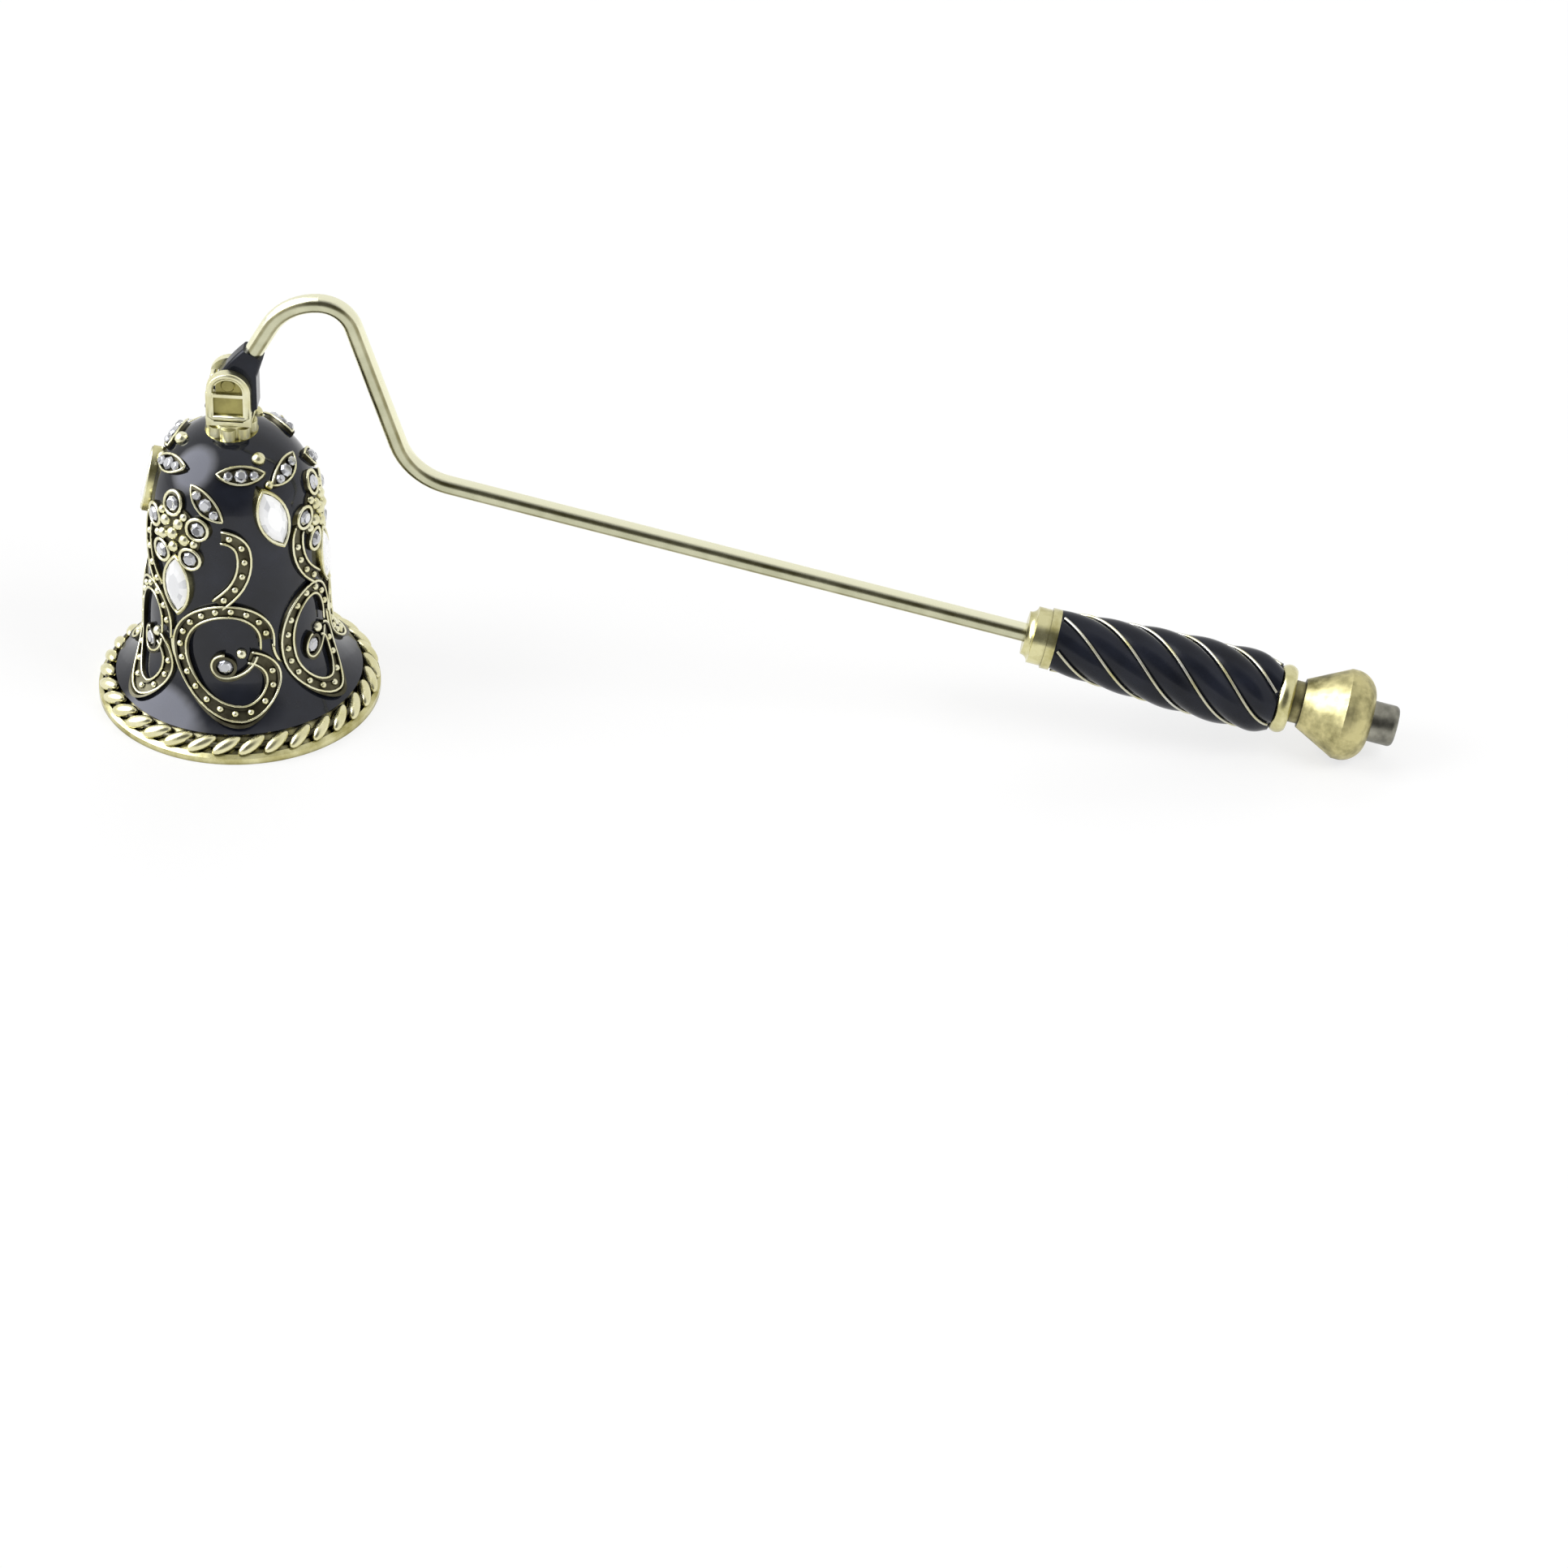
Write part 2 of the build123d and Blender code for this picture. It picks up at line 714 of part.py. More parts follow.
with BuildPart() as navette_shape:
    with BuildSketch():
        add(navette_outline)
    extrude(amount=navette_girdle)
    with BuildSketch(Plane.XY.offset(navette_girdle)):
        add(navette_outline)
    with BuildSketch(Plane.XY.offset(navette_girdle + navette_crown)):
        add(navette_table)
    loft()
with BuildPart() as navette_set:
    for azimuth, height, turn in navette_places:
        add(bell_plane(azimuth, height, stone_gap, turn + 90).location * navette_shape.part)
with BuildPart() as navette_crystals:
    add(round_bell(navette_set.part, sector_count))
navette_crystals.part.label = "navette_crystals"

# Crown yoke: a petalled collar, a base block and two framed ears, with a stud below
ear_inside = tongue_thickness / 2 + tongue_gap
ear_outside = ear_inside + ear_thickness
ear_floor = ear_outside - ear_recess
ear_centre = pivot_height - ear_drop
recess_width = 2 * (ear_radius - ear_frame)
neck_height = crown_height + collar_height
base_height = neck_height + yoke_base
stud_length = crown_height - crown_underside + washer_thickness + crown_nut_height + stud_end
with BuildPart() as crown_yoke:
    with BuildSketch(Plane.XY.offset(crown_height)):
        Circle(collar_neck_radius)
        with PolarLocations(collar_petal_reach, collar_petals):
            Circle(collar_petal_radius)
    extrude(amount=collar_flange)
    with BuildSketch(Plane.XY.offset(crown_height)):
        Circle(collar_neck_radius)
    extrude(amount=collar_height)
    with BuildSketch(Plane.XY.offset(neck_height)):
        Rectangle(2 * ear_radius, 2 * ear_outside)
    extrude(amount=yoke_base)
    with BuildSketch(Plane.XZ):
        with Locations((0, ear_centre)):
            Circle(ear_radius)
        with Locations((0, base_height)):
            Rectangle(2 * ear_radius, ear_centre - base_height, align=(Align.CENTER, Align.MIN))
    extrude(amount=ear_outside, both=True)
    with BuildSketch(Plane.XZ):
        with Locations((0, base_height)):
            Rectangle(2 * (ear_radius + overrun), pivot_height, align=(Align.CENTER, Align.MIN))
    extrude(amount=ear_inside, both=True, mode=Mode.SUBTRACT)
    for side in (-1, 1):
        with BuildSketch(Plane.XZ.offset(side * ear_floor)):
            with Locations((0, ear_centre)):
                Circle(ear_radius - ear_frame)
            with Locations((0, base_height)):
                Rectangle(recess_width, ear_centre - base_height, align=(Align.CENTER, Align.MIN))
            with Locations((0, pivot_height - ear_bar_drop)):
                Rectangle(2 * ear_radius, ear_bar, mode=Mode.SUBTRACT)
        extrude(amount=side * (ear_recess + overrun), mode=Mode.SUBTRACT)
    with BuildSketch(Plane.XZ):
        with Locations((0, pivot_height)):
            Circle(pin_diameter / 2 + pin_fit)
        with Locations((-ear_notch_reach, pivot_height - ear_notch_drop)):
            Rectangle(ear_radius, ear_notch, align=(Align.MAX, Align.CENTER))
    extrude(amount=ear_outside + overrun, both=True, mode=Mode.SUBTRACT)
    with Locations((0, 0, crown_height)):
        Cylinder(stud_diameter / 2, stud_length, align=(Align.CENTER, Align.CENTER, Align.MAX))
crown_yoke.part.label = "crown_yoke"

with BuildPart() as crown_washer:
    with BuildSketch(Plane.XY.offset(crown_underside - washer_thickness)):
        Circle(washer_diameter / 2)
        Circle(stud_diameter / 2 + stud_fit, mode=Mode.SUBTRACT)
    extrude(amount=washer_thickness)
crown_washer.part.label = "crown_washer"

nut_top = crown_underside - washer_thickness
with BuildPart() as crown_nut:
    with BuildSketch(Plane.XY.offset(nut_top - crown_nut_height)):
        RegularPolygon(crown_nut_width / 2, 6, major_radius=False)
        Circle(stud_diameter / 2 + stud_fit, mode=Mode.SUBTRACT)
    extrude(amount=crown_nut_height)
crown_nut.part.label = "crown_nut"


# Hinge pin with a low head, and the cap riveted on its far end
def pin_button(bore):
    """Turn a chamfered pin head that stands on its flat side, bored where a pin ends in it."""
    with BuildPart() as button:
        with BuildSketch(Plane.XZ):
            with BuildLine():
                edge = (pin_head / 2, pin_head_height / 2)
                shoulder = ((pin_head - pin_head_height) / 2, pin_head_height)
                Polyline((bore, 0), (pin_head / 2, 0), edge, shoulder, (bore, pin_head_height), (bore, 0))
            make_face()
        revolve(axis=Axis.Z)
    return button.part


front_seat = Plane(origin=(0, -ear_floor, pivot_height), x_dir=(1, 0, 0), z_dir=(0, -1, 0))
back_seat = Plane(origin=(0, ear_floor, pivot_height), x_dir=(-1, 0, 0), z_dir=(0, 1, 0))
with BuildPart() as hinge_pin:
    add(front_seat.location * pin_button(0))
    with BuildSketch(front_seat):
        Circle(pin_diameter / 2)
    extrude(amount=-(2 * ear_floor + pin_head_height))
hinge_pin.part.label = "hinge_pin"

with BuildPart() as pin_cap:
    add(back_seat.location * pin_button(pin_diameter / 2))
pin_cap.part.label = "pin_cap"

# Path of the arm, and the slope at which the pommel's ridge rests beside the bell
rise = radians(hook_rise)
drop = radians(shank_slope)
rise_way = (cos(rise), sin(rise))
shank_way = (cos(drop), -sin(drop))
apex = (hook_reach, hook_height)
arch_start = (apex[0] - hook_front_radius * sin(rise), apex[1] - hook_front_radius * (1 - cos(rise)))
rod_root = (arch_start[0] - hook_root * rise_way[0], arch_start[1] - hook_root * rise_way[1])
arch_end = (apex[0] + hook_back_radius * sin(drop), apex[1] - hook_back_radius * (1 - cos(drop)))
shank_end = (arch_end[0] + shank_length * shank_way[0], arch_end[1] + shank_length * shank_way[1])
elbow_centre = (shank_end[0] + elbow_radius * sin(drop), shank_end[1] + elbow_radius * cos(drop))
pommel_reach = (
    rod_run + ferrule_length + grip_length + ring_width + neck_length + pommel_cone + pommel_ridge
)
rest_radius = pommel_radius + elbow_radius
slope = asin(elbow_centre[1] / sqrt(pommel_reach**2 + rest_radius**2)) - atan2(rest_radius, pommel_reach)
arm_way = (cos(slope), -sin(slope))
elbow_end = (elbow_centre[0] - elbow_radius * sin(slope), elbow_centre[1] - elbow_radius * cos(slope))
print("slope of the handle at rest", round(degrees(slope), 3))

arm_start = Vector(elbow_end[0], 0, elbow_end[1])
arm_axis = Vector(arm_way[0], 0, arm_way[1])
handle_axis = Axis(arm_start, arm_axis)
handle_side = Plane(origin=arm_start, x_dir=arm_axis, z_dir=(0, -1, 0))


def handle_plane(distance, turn=0):
    """Cut a plane across the handle, at a distance past the elbow, turned about its axis."""
    up = Vector(sin(slope), 0, cos(slope)) * cos(radians(turn))
    lay = up + Vector(0, -sin(radians(turn)), 0)
    return Plane(origin=arm_start + arm_axis * distance, x_dir=lay, z_dir=arm_axis)


# Tongue: round heel about the pivot, bowed on the bell's far side, narrowing to the rod
root_normal = (sin(rise), -cos(rise))
tongue_neck = rod_diameter / 2 + tongue_top_wall
neck_right = (rod_root[0] + tongue_neck * root_normal[0], rod_root[1] + tongue_neck * root_normal[1])
neck_left = (rod_root[0] - tongue_neck * root_normal[0], rod_root[1] - tongue_neck * root_normal[1])
heel_left = (-tongue_left, pivot_height - sqrt(tongue_heel**2 - tongue_left**2))
heel_right = (tongue_right, pivot_height - sqrt(tongue_heel**2 - tongue_right**2))
heel_low = (0, pivot_height - tongue_heel)
chord_middle = ((heel_left[0] + neck_left[0]) / 2, (heel_left[1] + neck_left[1]) / 2)
bow_middle = (chord_middle[0] - tongue_bow, chord_middle[1] + tongue_bow / 2)
side_top = (tongue_right, pivot_height + tongue_bow)
root_origin = (rod_root[0], 0, rod_root[1])
root_plane = Plane(origin=root_origin, x_dir=(0, 1, 0), z_dir=(rise_way[0], 0, rise_way[1]))
with BuildPart() as arm_tongue:
    with BuildSketch(Plane.XZ):
        with BuildLine():
            heel = ThreePointArc(heel_left, heel_low, heel_right)
            side = Line(heel @ 1, side_top)
            shoulder = Line(side @ 1, neck_right)
            top = Line(shoulder @ 1, neck_left)
            ThreePointArc(top @ 1, bow_middle, heel_left)
        make_face()
    extrude(amount=tongue_thickness / 2, both=True)
    face_edges = arm_tongue.edges().filter_by(lambda edge: abs(edge.center().Y) > tongue_thickness / 4)
    upper_edges = face_edges.filter_by(lambda edge: edge.center().Z > pivot_height)
    fillet(upper_edges.sort_by(Axis.Z)[:-2], tongue_round)
    with BuildSketch(Plane.XZ):
        with Locations((0, pivot_height)):
            Circle(pin_diameter / 2 + pin_running_fit)
    extrude(amount=tongue_thickness, both=True, mode=Mode.SUBTRACT)
    with BuildSketch(root_plane):
        Circle(tenon_diameter / 2 + rod_fit)
    extrude(amount=-(tenon_length + rod_fit), mode=Mode.SUBTRACT)
arm_tongue.part.label = "arm_tongue"

# Rod: a tenon in the tongue, the hook, the shank, the elbow and the long run into the end nut
rod_end = pommel_reach + pommel_back + end_nut_thread
rod_tip = (elbow_end[0] + rod_end * arm_way[0], elbow_end[1] + rod_end * arm_way[1])
with BuildPart() as neck_rod:
    with BuildLine(Plane.XZ) as rod_path:
        Line(rod_root, arch_start)
        JernArc(arch_start, rise_way, hook_front_radius, -hook_rise)
        JernArc(apex, (1, 0), hook_back_radius, -shank_slope)
        Line(arch_end, shank_end)
        JernArc(shank_end, shank_way, elbow_radius, shank_slope - degrees(slope))
        Line(elbow_end, rod_tip)
    with BuildSketch(root_plane):
        Circle(rod_diameter / 2)
    sweep(path=rod_path.wire())
    with BuildSketch(root_plane):
        Circle(tenon_diameter / 2)
    extrude(amount=-tenon_length)
neck_rod.part.label = "neck_rod"
rod_length = rod_path.wire().length
print("length of the rod's path in mm", round(rod_length, 1))

bore = rod_diameter / 2 + rod_fit

# Ferrule: a rounded front, a plain barrel and a raised band against the grip
ferrule_at = rod_run
barrel_radius = grip_front - ferrule_step
with BuildPart() as ferrule:
    with BuildSketch(handle_side):
        with BuildLine():
            face = Line((ferrule_at, bore), (ferrule_at, ferrule_front))
            barrel_start = (ferrule_at + ferrule_round, barrel_radius)
            nose = RadiusArc(face @ 1, barrel_start, -ferrule_round)
            band_start = ferrule_at + ferrule_length - ferrule_band
            grip_at = ferrule_at + ferrule_length
            Polyline(
                nose @ 1,
                (band_start, barrel_radius),
                (band_start, grip_front),
                (grip_at, grip_front),
                (grip_at, bore),
                face @ 0,
            )
        make_face()
    revolve(axis=handle_axis)
ferrule.part.label = "ferrule"

# Grip: an inner tube, five twisted lobes of enamel and a wire in each groove between them
with BuildPart() as grip_core:
    with BuildSketch(handle_plane(grip_at)):
        Circle(grip_core_radius)
        Circle(bore, mode=Mode.SUBTRACT)
    extrude(amount=grip_length)
grip_core.part.label = "grip_core"

grip_turn = 360 * grip_length / grip_lead
grip_steps = ceil(grip_turn / grip_step_turn)


def crest_radius(share):
    """Give the grip's radius over its lobes: it swells to the rear and rounds off at the end."""
    swell = grip_front + (grip_rear - grip_front) * sin(radians(grip_swell_turn * share))
    past = max(0, share - (1 - grip_end_share)) / grip_end_share
    return swell - grip_end_drop * past**2


def groove_radius(share):
    """Give the grip's radius in the grooves, which start shallow at the ferrule."""
    return crest_radius(share) - grip_lobe_rise * (1 + share) / 2


def lobed_section(share):
    """Draw the grip's section: convex lobes with a narrow flat between each two."""
    groove = groove_radius(share)
    edge_turn = asin(channel_width / 2 / groove)
    lobe_turn = 2 * pi / grip_lobes
    with BuildSketch() as section:
        with BuildLine():
            for number in range(grip_lobes):
                first = number * lobe_turn + edge_turn
                last = (number + 1) * lobe_turn - edge_turn
                middle = (first + last) / 2
                crest = crest_radius(share)
                lobe_arc = ThreePointArc(
                    (groove * cos(first), groove * sin(first)),
                    (crest * cos(middle), crest * sin(middle)),
                    (groove * cos(last), groove * sin(last)),
                )
                after = last + 2 * edge_turn
                Line(lobe_arc @ 1, (groove * cos(after), groove * sin(after)))
        make_face()
    return section.sketch


with BuildPart() as grip_enamel:
    for step in range(grip_steps + 1):
        share = step / grip_steps
        with BuildSketch(handle_plane(grip_at + grip_length * share, grip_turn * share)):
            add(lobed_section(share))
    loft()
    with BuildSketch(handle_plane(grip_at)):
        Circle(grip_core_radius)
    extrude(amount=grip_length, mode=Mode.SUBTRACT)
grip_enamel.part.label = "grip_enamel"


def wire_line(number):
    """Run a curve along one groove of the grip, a wire's half width above its floor."""
    places = []
    end_share = spiral_wire / grip_length
    for step in range(grip_steps + 1):
        share = end_share + (1 - 2 * end_share) * step / grip_steps
        turn = grip_turn * share + 360 * number / grip_lobes
        cross = handle_plane(grip_at + grip_length * share, turn)
        places.append(cross.origin + cross.x_dir * (groove_radius(share) + wire_gap + spiral_wire / 2))
    return Spline(*places)


spiral_wires = []
for number in range(grip_lobes):
    with BuildPart() as wire:
        with BuildLine():
            line = wire_line(number)
        with BuildSketch(Plane(origin=line @ 0, z_dir=line % 0)):
            Circle(spiral_wire / 2)
        sweep(path=line)
    spiral_wires.append(wire.part)
with BuildPart() as grip_spiral_wires:
    add(spiral_wires)
grip_spiral_wires.part.label = "grip_spiral_wires"

# Rear ring, pommel and end nut
ring_at = grip_at + grip_length
pommel_at = ring_at + ring_width
with BuildPart() as rear_ring:
    with BuildSketch(handle_side):
        with BuildLine():
            inside = Line((ring_at + ring_width, bore), (ring_at, bore))
            front = Line(inside @ 1, (ring_at, ring_radius - ring_width / 4))
            back_edge = (ring_at + ring_width, ring_radius - ring_width / 4)
            outer = ThreePointArc(front @ 1, (ring_at + ring_width / 2, ring_radius), back_edge)
            Line(outer @ 1, inside @ 0)
        make_face()
    revolve(axis=handle_axis)
rear_ring.part.label = "rear_ring"

cone_at = pommel_at + neck_length
ridge_at = cone_at + pommel_cone
ridge_end = ridge_at + pommel_ridge
back_at = ridge_end + pommel_back
with BuildPart() as pommel:
    with BuildSketch(handle_side):
        with BuildLine():
            bore_line = Line((back_at, bore), (pommel_at, bore))
            neck_face = Line(bore_line @ 1, (pommel_at, neck_radius))
            neck_line = Line(neck_face @ 1, (cone_at, neck_radius))
            step_line = Line(neck_line @ 1, (cone_at, pommel_foot))
            cone_line = Line(step_line @ 1, (ridge_at, pommel_radius))
            ridge_line = Line(cone_line @ 1, (ridge_end, pommel_radius))
            back_bend = (ridge_end + pommel_back * 2 / 3, (pommel_radius + pommel_foot) / 2 + pommel_back / 6)
            back_arc = ThreePointArc(ridge_line @ 1, back_bend, (back_at, pommel_foot))
            Line(back_arc @ 1, bore_line @ 0)
        make_face()
    revolve(axis=handle_axis)
pommel.part.label = "pommel"

with BuildPart() as end_nut:
    with BuildSketch(handle_plane(back_at)):
        Circle(end_nut_radius)
    extrude(amount=end_nut_length)
    fillet(end_nut.edges().sort_by(Axis.X)[-1], end_nut_round)
    with BuildSketch(handle_plane(back_at)):
        Circle(bore)
    extrude(amount=end_nut_thread + rod_fit, mode=Mode.SUBTRACT)
end_nut.part.label = "end_nut"

pieces = (
    bell_shell, bell_enamel, rope_border, scroll_medallions, medallion_beads, medallion_crystals,
    scroll_stems, stem_beads, flower_rosettes, flower_beads, flower_crystals, leaf_sprigs, leaf_crystals,
    navette_settings, navette_crystals, crown_yoke, crown_washer, crown_nut, hinge_pin, pin_cap,
    arm_tongue, neck_rod, ferrule, grip_core, grip_enamel, grip_spiral_wires, rear_ring, pommel, end_nut,
)
os.makedirs("parts", exist_ok=True)
for piece in pieces:
    export_step(piece.part, f"parts/{piece.part.label}.step")
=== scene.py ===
"""Looks of the jewelled candle snuffer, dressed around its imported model."""

from math import acos, asin, atan2, ceil, cos, degrees, pi, radians, sin

import bmesh
import bpy
from bpy.props import FloatProperty, FloatVectorProperty, IntProperty, PointerProperty
from mathutils import Matrix, Vector


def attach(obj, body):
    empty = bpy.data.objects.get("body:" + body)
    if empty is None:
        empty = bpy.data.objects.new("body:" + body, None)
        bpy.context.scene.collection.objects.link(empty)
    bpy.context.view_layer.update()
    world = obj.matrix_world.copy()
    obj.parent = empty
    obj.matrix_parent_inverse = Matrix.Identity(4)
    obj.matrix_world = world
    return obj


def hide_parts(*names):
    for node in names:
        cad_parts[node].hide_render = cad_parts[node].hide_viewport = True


bl_info = {
    "name": "Candle snuffer looks",
    "version": (1, 0, 0),
    "blender": (4, 5, 0),
    "location": "View3D > Sidebar > Snuffer",
    "description": "Dresses the packed candle snuffer in brass, enamel and crystals",
    "category": "Object",
}

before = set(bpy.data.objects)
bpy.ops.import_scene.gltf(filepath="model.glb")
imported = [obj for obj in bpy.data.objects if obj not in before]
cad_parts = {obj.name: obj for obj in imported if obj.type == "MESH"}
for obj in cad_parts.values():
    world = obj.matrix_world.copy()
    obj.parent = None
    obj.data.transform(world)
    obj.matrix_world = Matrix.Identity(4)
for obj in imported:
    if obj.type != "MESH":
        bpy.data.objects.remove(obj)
MM = 0.001
SECTORS = 3
FRONT = -84.0
UP = Vector((0, 0, 1))


def measure(label, told, value):
    """Make a size property."""
    return FloatProperty(name=label, description=told, default=value)


def colour(label, told, value):
    """Make a colour property."""
    return FloatVectorProperty(name=label, description=told, subtype="COLOR", size=3, default=value)


class SnufferBell(bpy.types.PropertyGroup):
    """Outline of the bell's enamel face, in millimetres and degrees."""

    waist_radius: measure("Waist radius", "Radius above the flare", 15.4)
    waist_height: measure("Waist height", "Where the flare starts", 14.0)
    flare_radius: measure("Flare radius", "Radius of the flare's arc", 12.8)
    shoulder_radius: measure("Shoulder radius", "Radius below the dome", 14.0)
    shoulder_height: measure("Shoulder height", "Where the dome starts", 40.0)
    dome_radius: measure("Dome radius", "Radius of the dome's arc", 13.3)
    flare_end: measure("Flare end", "Height of the flare's lower edge", 4.093)
    crown_radius: measure("Crown radius", "Radius of the dome's upper edge", 4.5)
    enamel: measure("Enamel", "Thickness of the enamel", 0.35)


class SnufferOrnament(bpy.types.PropertyGroup):
    """Sizes of the applied ornament, in millimetres and degrees."""

    rail_width: measure("Rail width", "Round rail on each band's edge", 0.42)
    rail_lift: measure("Rail lift", "Middle of a rail above the enamel", 0.66)
    band_width: measure("Band width", "Width of a medallion's band", 2.5)
    stem_width: measure("Stem width", "Width of a stem's band", 2.6)
    scroll_size: measure("Scroll size", "Half width of a medallion", 8.15)
    scroll_height: measure("Scroll height", "Middle of the medallions", 15.45)
    scroll_turn: measure("Scroll turn", "Azimuth of the front medallion", -3.3)
    narrow_stretch: measure("Narrow stretch", "Squeeze of narrow medallions", 0.7)
    stem_size: measure("Stem size", "Size of a stem's bow", 12.5)
    flower_turn: measure("Flower turn", "Azimuth of the front flower", -42.0)
    flower_height: measure("Flower height", "Height of the flowers", 38.2)
    petal_count: IntProperty(name="Petals", description="Ring petals of a flower", default=5)
    petal_turn: measure("Petal turn", "Direction of the first petal", 96.0)
    petal_radius: measure("Petal radius", "Outer radius of a petal", 2.2)
    petal_reach: measure("Petal reach", "From heart to petal", 5.2)
    petal_rail: measure("Petal rail", "Width of a petal's ring", 0.62)
    heart_bead: measure("Heart bead", "Bead at a flower's heart", 2.3)
    seed_bead: measure("Seed bead", "Beads round a flower's heart", 2.1)
    seed_reach: measure("Seed reach", "From heart to seed bead", 2.5)
    leaf_length: measure("Leaf length", "Length of a leaf", 8.4)
    leaf_width: measure("Leaf width", "Width of a leaf", 3.4)
    gem_length: measure("Large stone length", "Pointed-oval stone", 10.0)
    gem_width: measure("Large stone width", "Pointed-oval stone", 5.0)
    medallion_stone: measure("Medallion stone", "Stone in a medallion's curl", 3.0)
    flower_stone: measure("Flower stone", "Stone in a petal's ring", 2.6)
    leaf_stone: measure("Leaf stone", "Outer stones of a leaf", 1.7)
    leaf_heart: measure("Leaf heart stone", "Middle stone of a leaf", 2.4)
    leaf_pitch: measure("Leaf stone pitch", "From a leaf's heart to its outer stones", 2.2)


class SnufferRopeSizes(bpy.types.PropertyGroup):
    """Sizes of the rope border, in millimetres and degrees."""

    count: IntProperty(name="Lobes", description="Lobes round the border", default=33)
    radius: measure("Ring radius", "Radius of the rope's middle", 22.35)
    height: measure("Ring height", "Height of the rope's middle", 2.85)
    rise: measure("Seat slope", "Slope of the cone under the rope", 41.4)
    lobe: measure("Lobe length", "Length of a lobe of the rope", 5.6)
    strand: measure("Lobe width", "Width of a lobe of the rope", 2.3)
    core: measure("Core width", "Width of the ring under the lobes", 1.1)
    lean: measure("Lobe lean", "Lean of the lobes in degrees", 31.0)


class SnufferYoke(bpy.types.PropertyGroup):
    """Sizes of the yoke's rounded frames and fields, in millimetres."""

    face: measure("Ear face", "Distance of an ear's face from the middle", 3.18)
    centre: measure("Arch height", "Height of the ear's arch centre", 61.0)
    foot: measure("Foot height", "Height of the frame's lower side", 55.9)
    radius: measure("Frame radius", "Radius of the frame's middle line", 3.15)
    width: measure("Frame width", "Width of the rounded frame", 1.2)
    floor: measure("Field face", "Distance of the fields from the middle", 2.58)
    field: measure("Field radius", "Half width of the fields", 2.5)
    bar_low: measure("Bar's lower side", "Height of the bar's lower side", 60.0)
    bar_top: measure("Bar's upper side", "Height of the bar's upper side", 60.6)


class SnufferColours(bpy.types.PropertyGroup):
    """Colours of the finishes."""

    brass: colour("Brass", "Polished antique brass", (0.72, 0.68, 0.38))
    rubbed: colour("Rubbed brass", "Raised brass rubbed pale", (0.90, 0.88, 0.64))
    brass_deep: colour("Deep brass", "Toned patches in the brass", (0.40, 0.36, 0.13))
    # Recess is also the painted shade that ambient occlusion mixes into every brass's recesses.
    recess: colour("Recess", "Blackened floor between the rails", (0.035, 0.03, 0.018))
    enamel: colour("Enamel", "Glossy black enamel", (0.006, 0.007, 0.011))
    crystal: colour("Crystal", "Foil-backed clear crystal", (0.86, 0.87, 0.90))
    steel: colour("Steel", "Darkened steel of the nuts", (0.36, 0.35, 0.29))
    floor: colour("Floor", "Pale floor", (0.92, 0.92, 0.92))


def bell():
    return bpy.context.scene.snuffer_bell


def ornament():
    return bpy.context.scene.snuffer_ornament


def colours():
    return bpy.context.scene.snuffer_colours


def rope():
    return bpy.context.scene.snuffer_rope


def yoke():
    return bpy.context.scene.snuffer_yoke


# Places on the bell


def bell_face(height):
    """Give the enamel's radius and its normal's angle above the horizontal at a height."""
    b = bell()
    taper = atan2(b.waist_radius - b.shoulder_radius, b.shoulder_height - b.waist_height)
    if height < b.waist_height:
        centre = b.waist_radius + b.flare_radius * cos(taper)
        level = b.waist_height + b.flare_radius * sin(taper)
        normal = asin(min(1, (level - height) / b.flare_radius))
        return centre - b.flare_radius * cos(normal), normal
    if height > b.shoulder_height:
        centre = b.shoulder_radius - b.dome_radius * cos(taper)
        level = b.shoulder_height - b.dome_radius * sin(taper)
        normal = asin(min(1, (height - level) / b.dome_radius))
        return centre + b.dome_radius * cos(normal), normal
    share = (height - b.waist_height) / (b.shoulder_height - b.waist_height)
    return b.waist_radius + (b.shoulder_radius - b.waist_radius) * share, taper


def bell_spot(azimuth, height, lift):
    """Give a point over the enamel and the outward normal there, in metres."""
    radius, slope = bell_face(height)
    around = radians(FRONT + azimuth)
    normal = Vector((cos(slope) * cos(around), cos(slope) * sin(around), sin(slope)))
    point = Vector((radius * cos(around), radius * sin(around), height)) + normal * lift
    return point * MM, normal


def sheet_path(azimuth, line, lift):
    """Wrap a flat line over the enamel, as it is seen square on from an azimuth."""
    path = []
    for across, height in line:
        turn = degrees(asin(across / bell_face(height)[0]))
        path.append(bell_spot(azimuth + turn, height, lift))
    return path


def lean(first, second, turn):
    """Turn by degrees from one arrow, or its share, towards another."""
    return first * cos(radians(turn)) + second * sin(radians(turn))


def frame_at(point, *axes):
    """Make a matrix from a point and the three axes of its frame."""
    return Matrix.Translation(point) @ Matrix(axes).transposed().to_4x4()


def bell_matrix(azimuth, height, lift, turn=0):
    """Lay a frame on the enamel, its third axis outward, turned about that axis."""
    point, normal = bell_spot(azimuth, height, lift)
    around = radians(FRONT + azimuth)
    across = Vector((-sin(around), cos(around), 0))
    lay = lean(across, normal.cross(across), turn)
    return frame_at(point, lay, normal.cross(lay), normal)


# Places that repeat round the bell: azimuth and height, then a turn or a bead's size
LEAVES = ((-18, 44.6, -40), (10.5, 48.7, -4), (54, 47.7, 18))
GEMS = ((30, 42, 14), (-38, 28.5, 3))
SPRIG_BEADS = ((34, 50.2, 2.4), (33.5, 46.9, 1.6))
GEM_MARGIN = 0.3


def full_turn(count):
    """List angles evenly round a full turn."""
    return [2 * pi * number / count for number in range(count)]


def round_bell(places):
    """Repeat places, each led by its azimuth, in every sector of the bell."""
    turns = [360 * sector / SECTORS for sector in range(SECTORS)]
    return [(place[0] + turn, *place[1:]) for turn in turns for place in places]


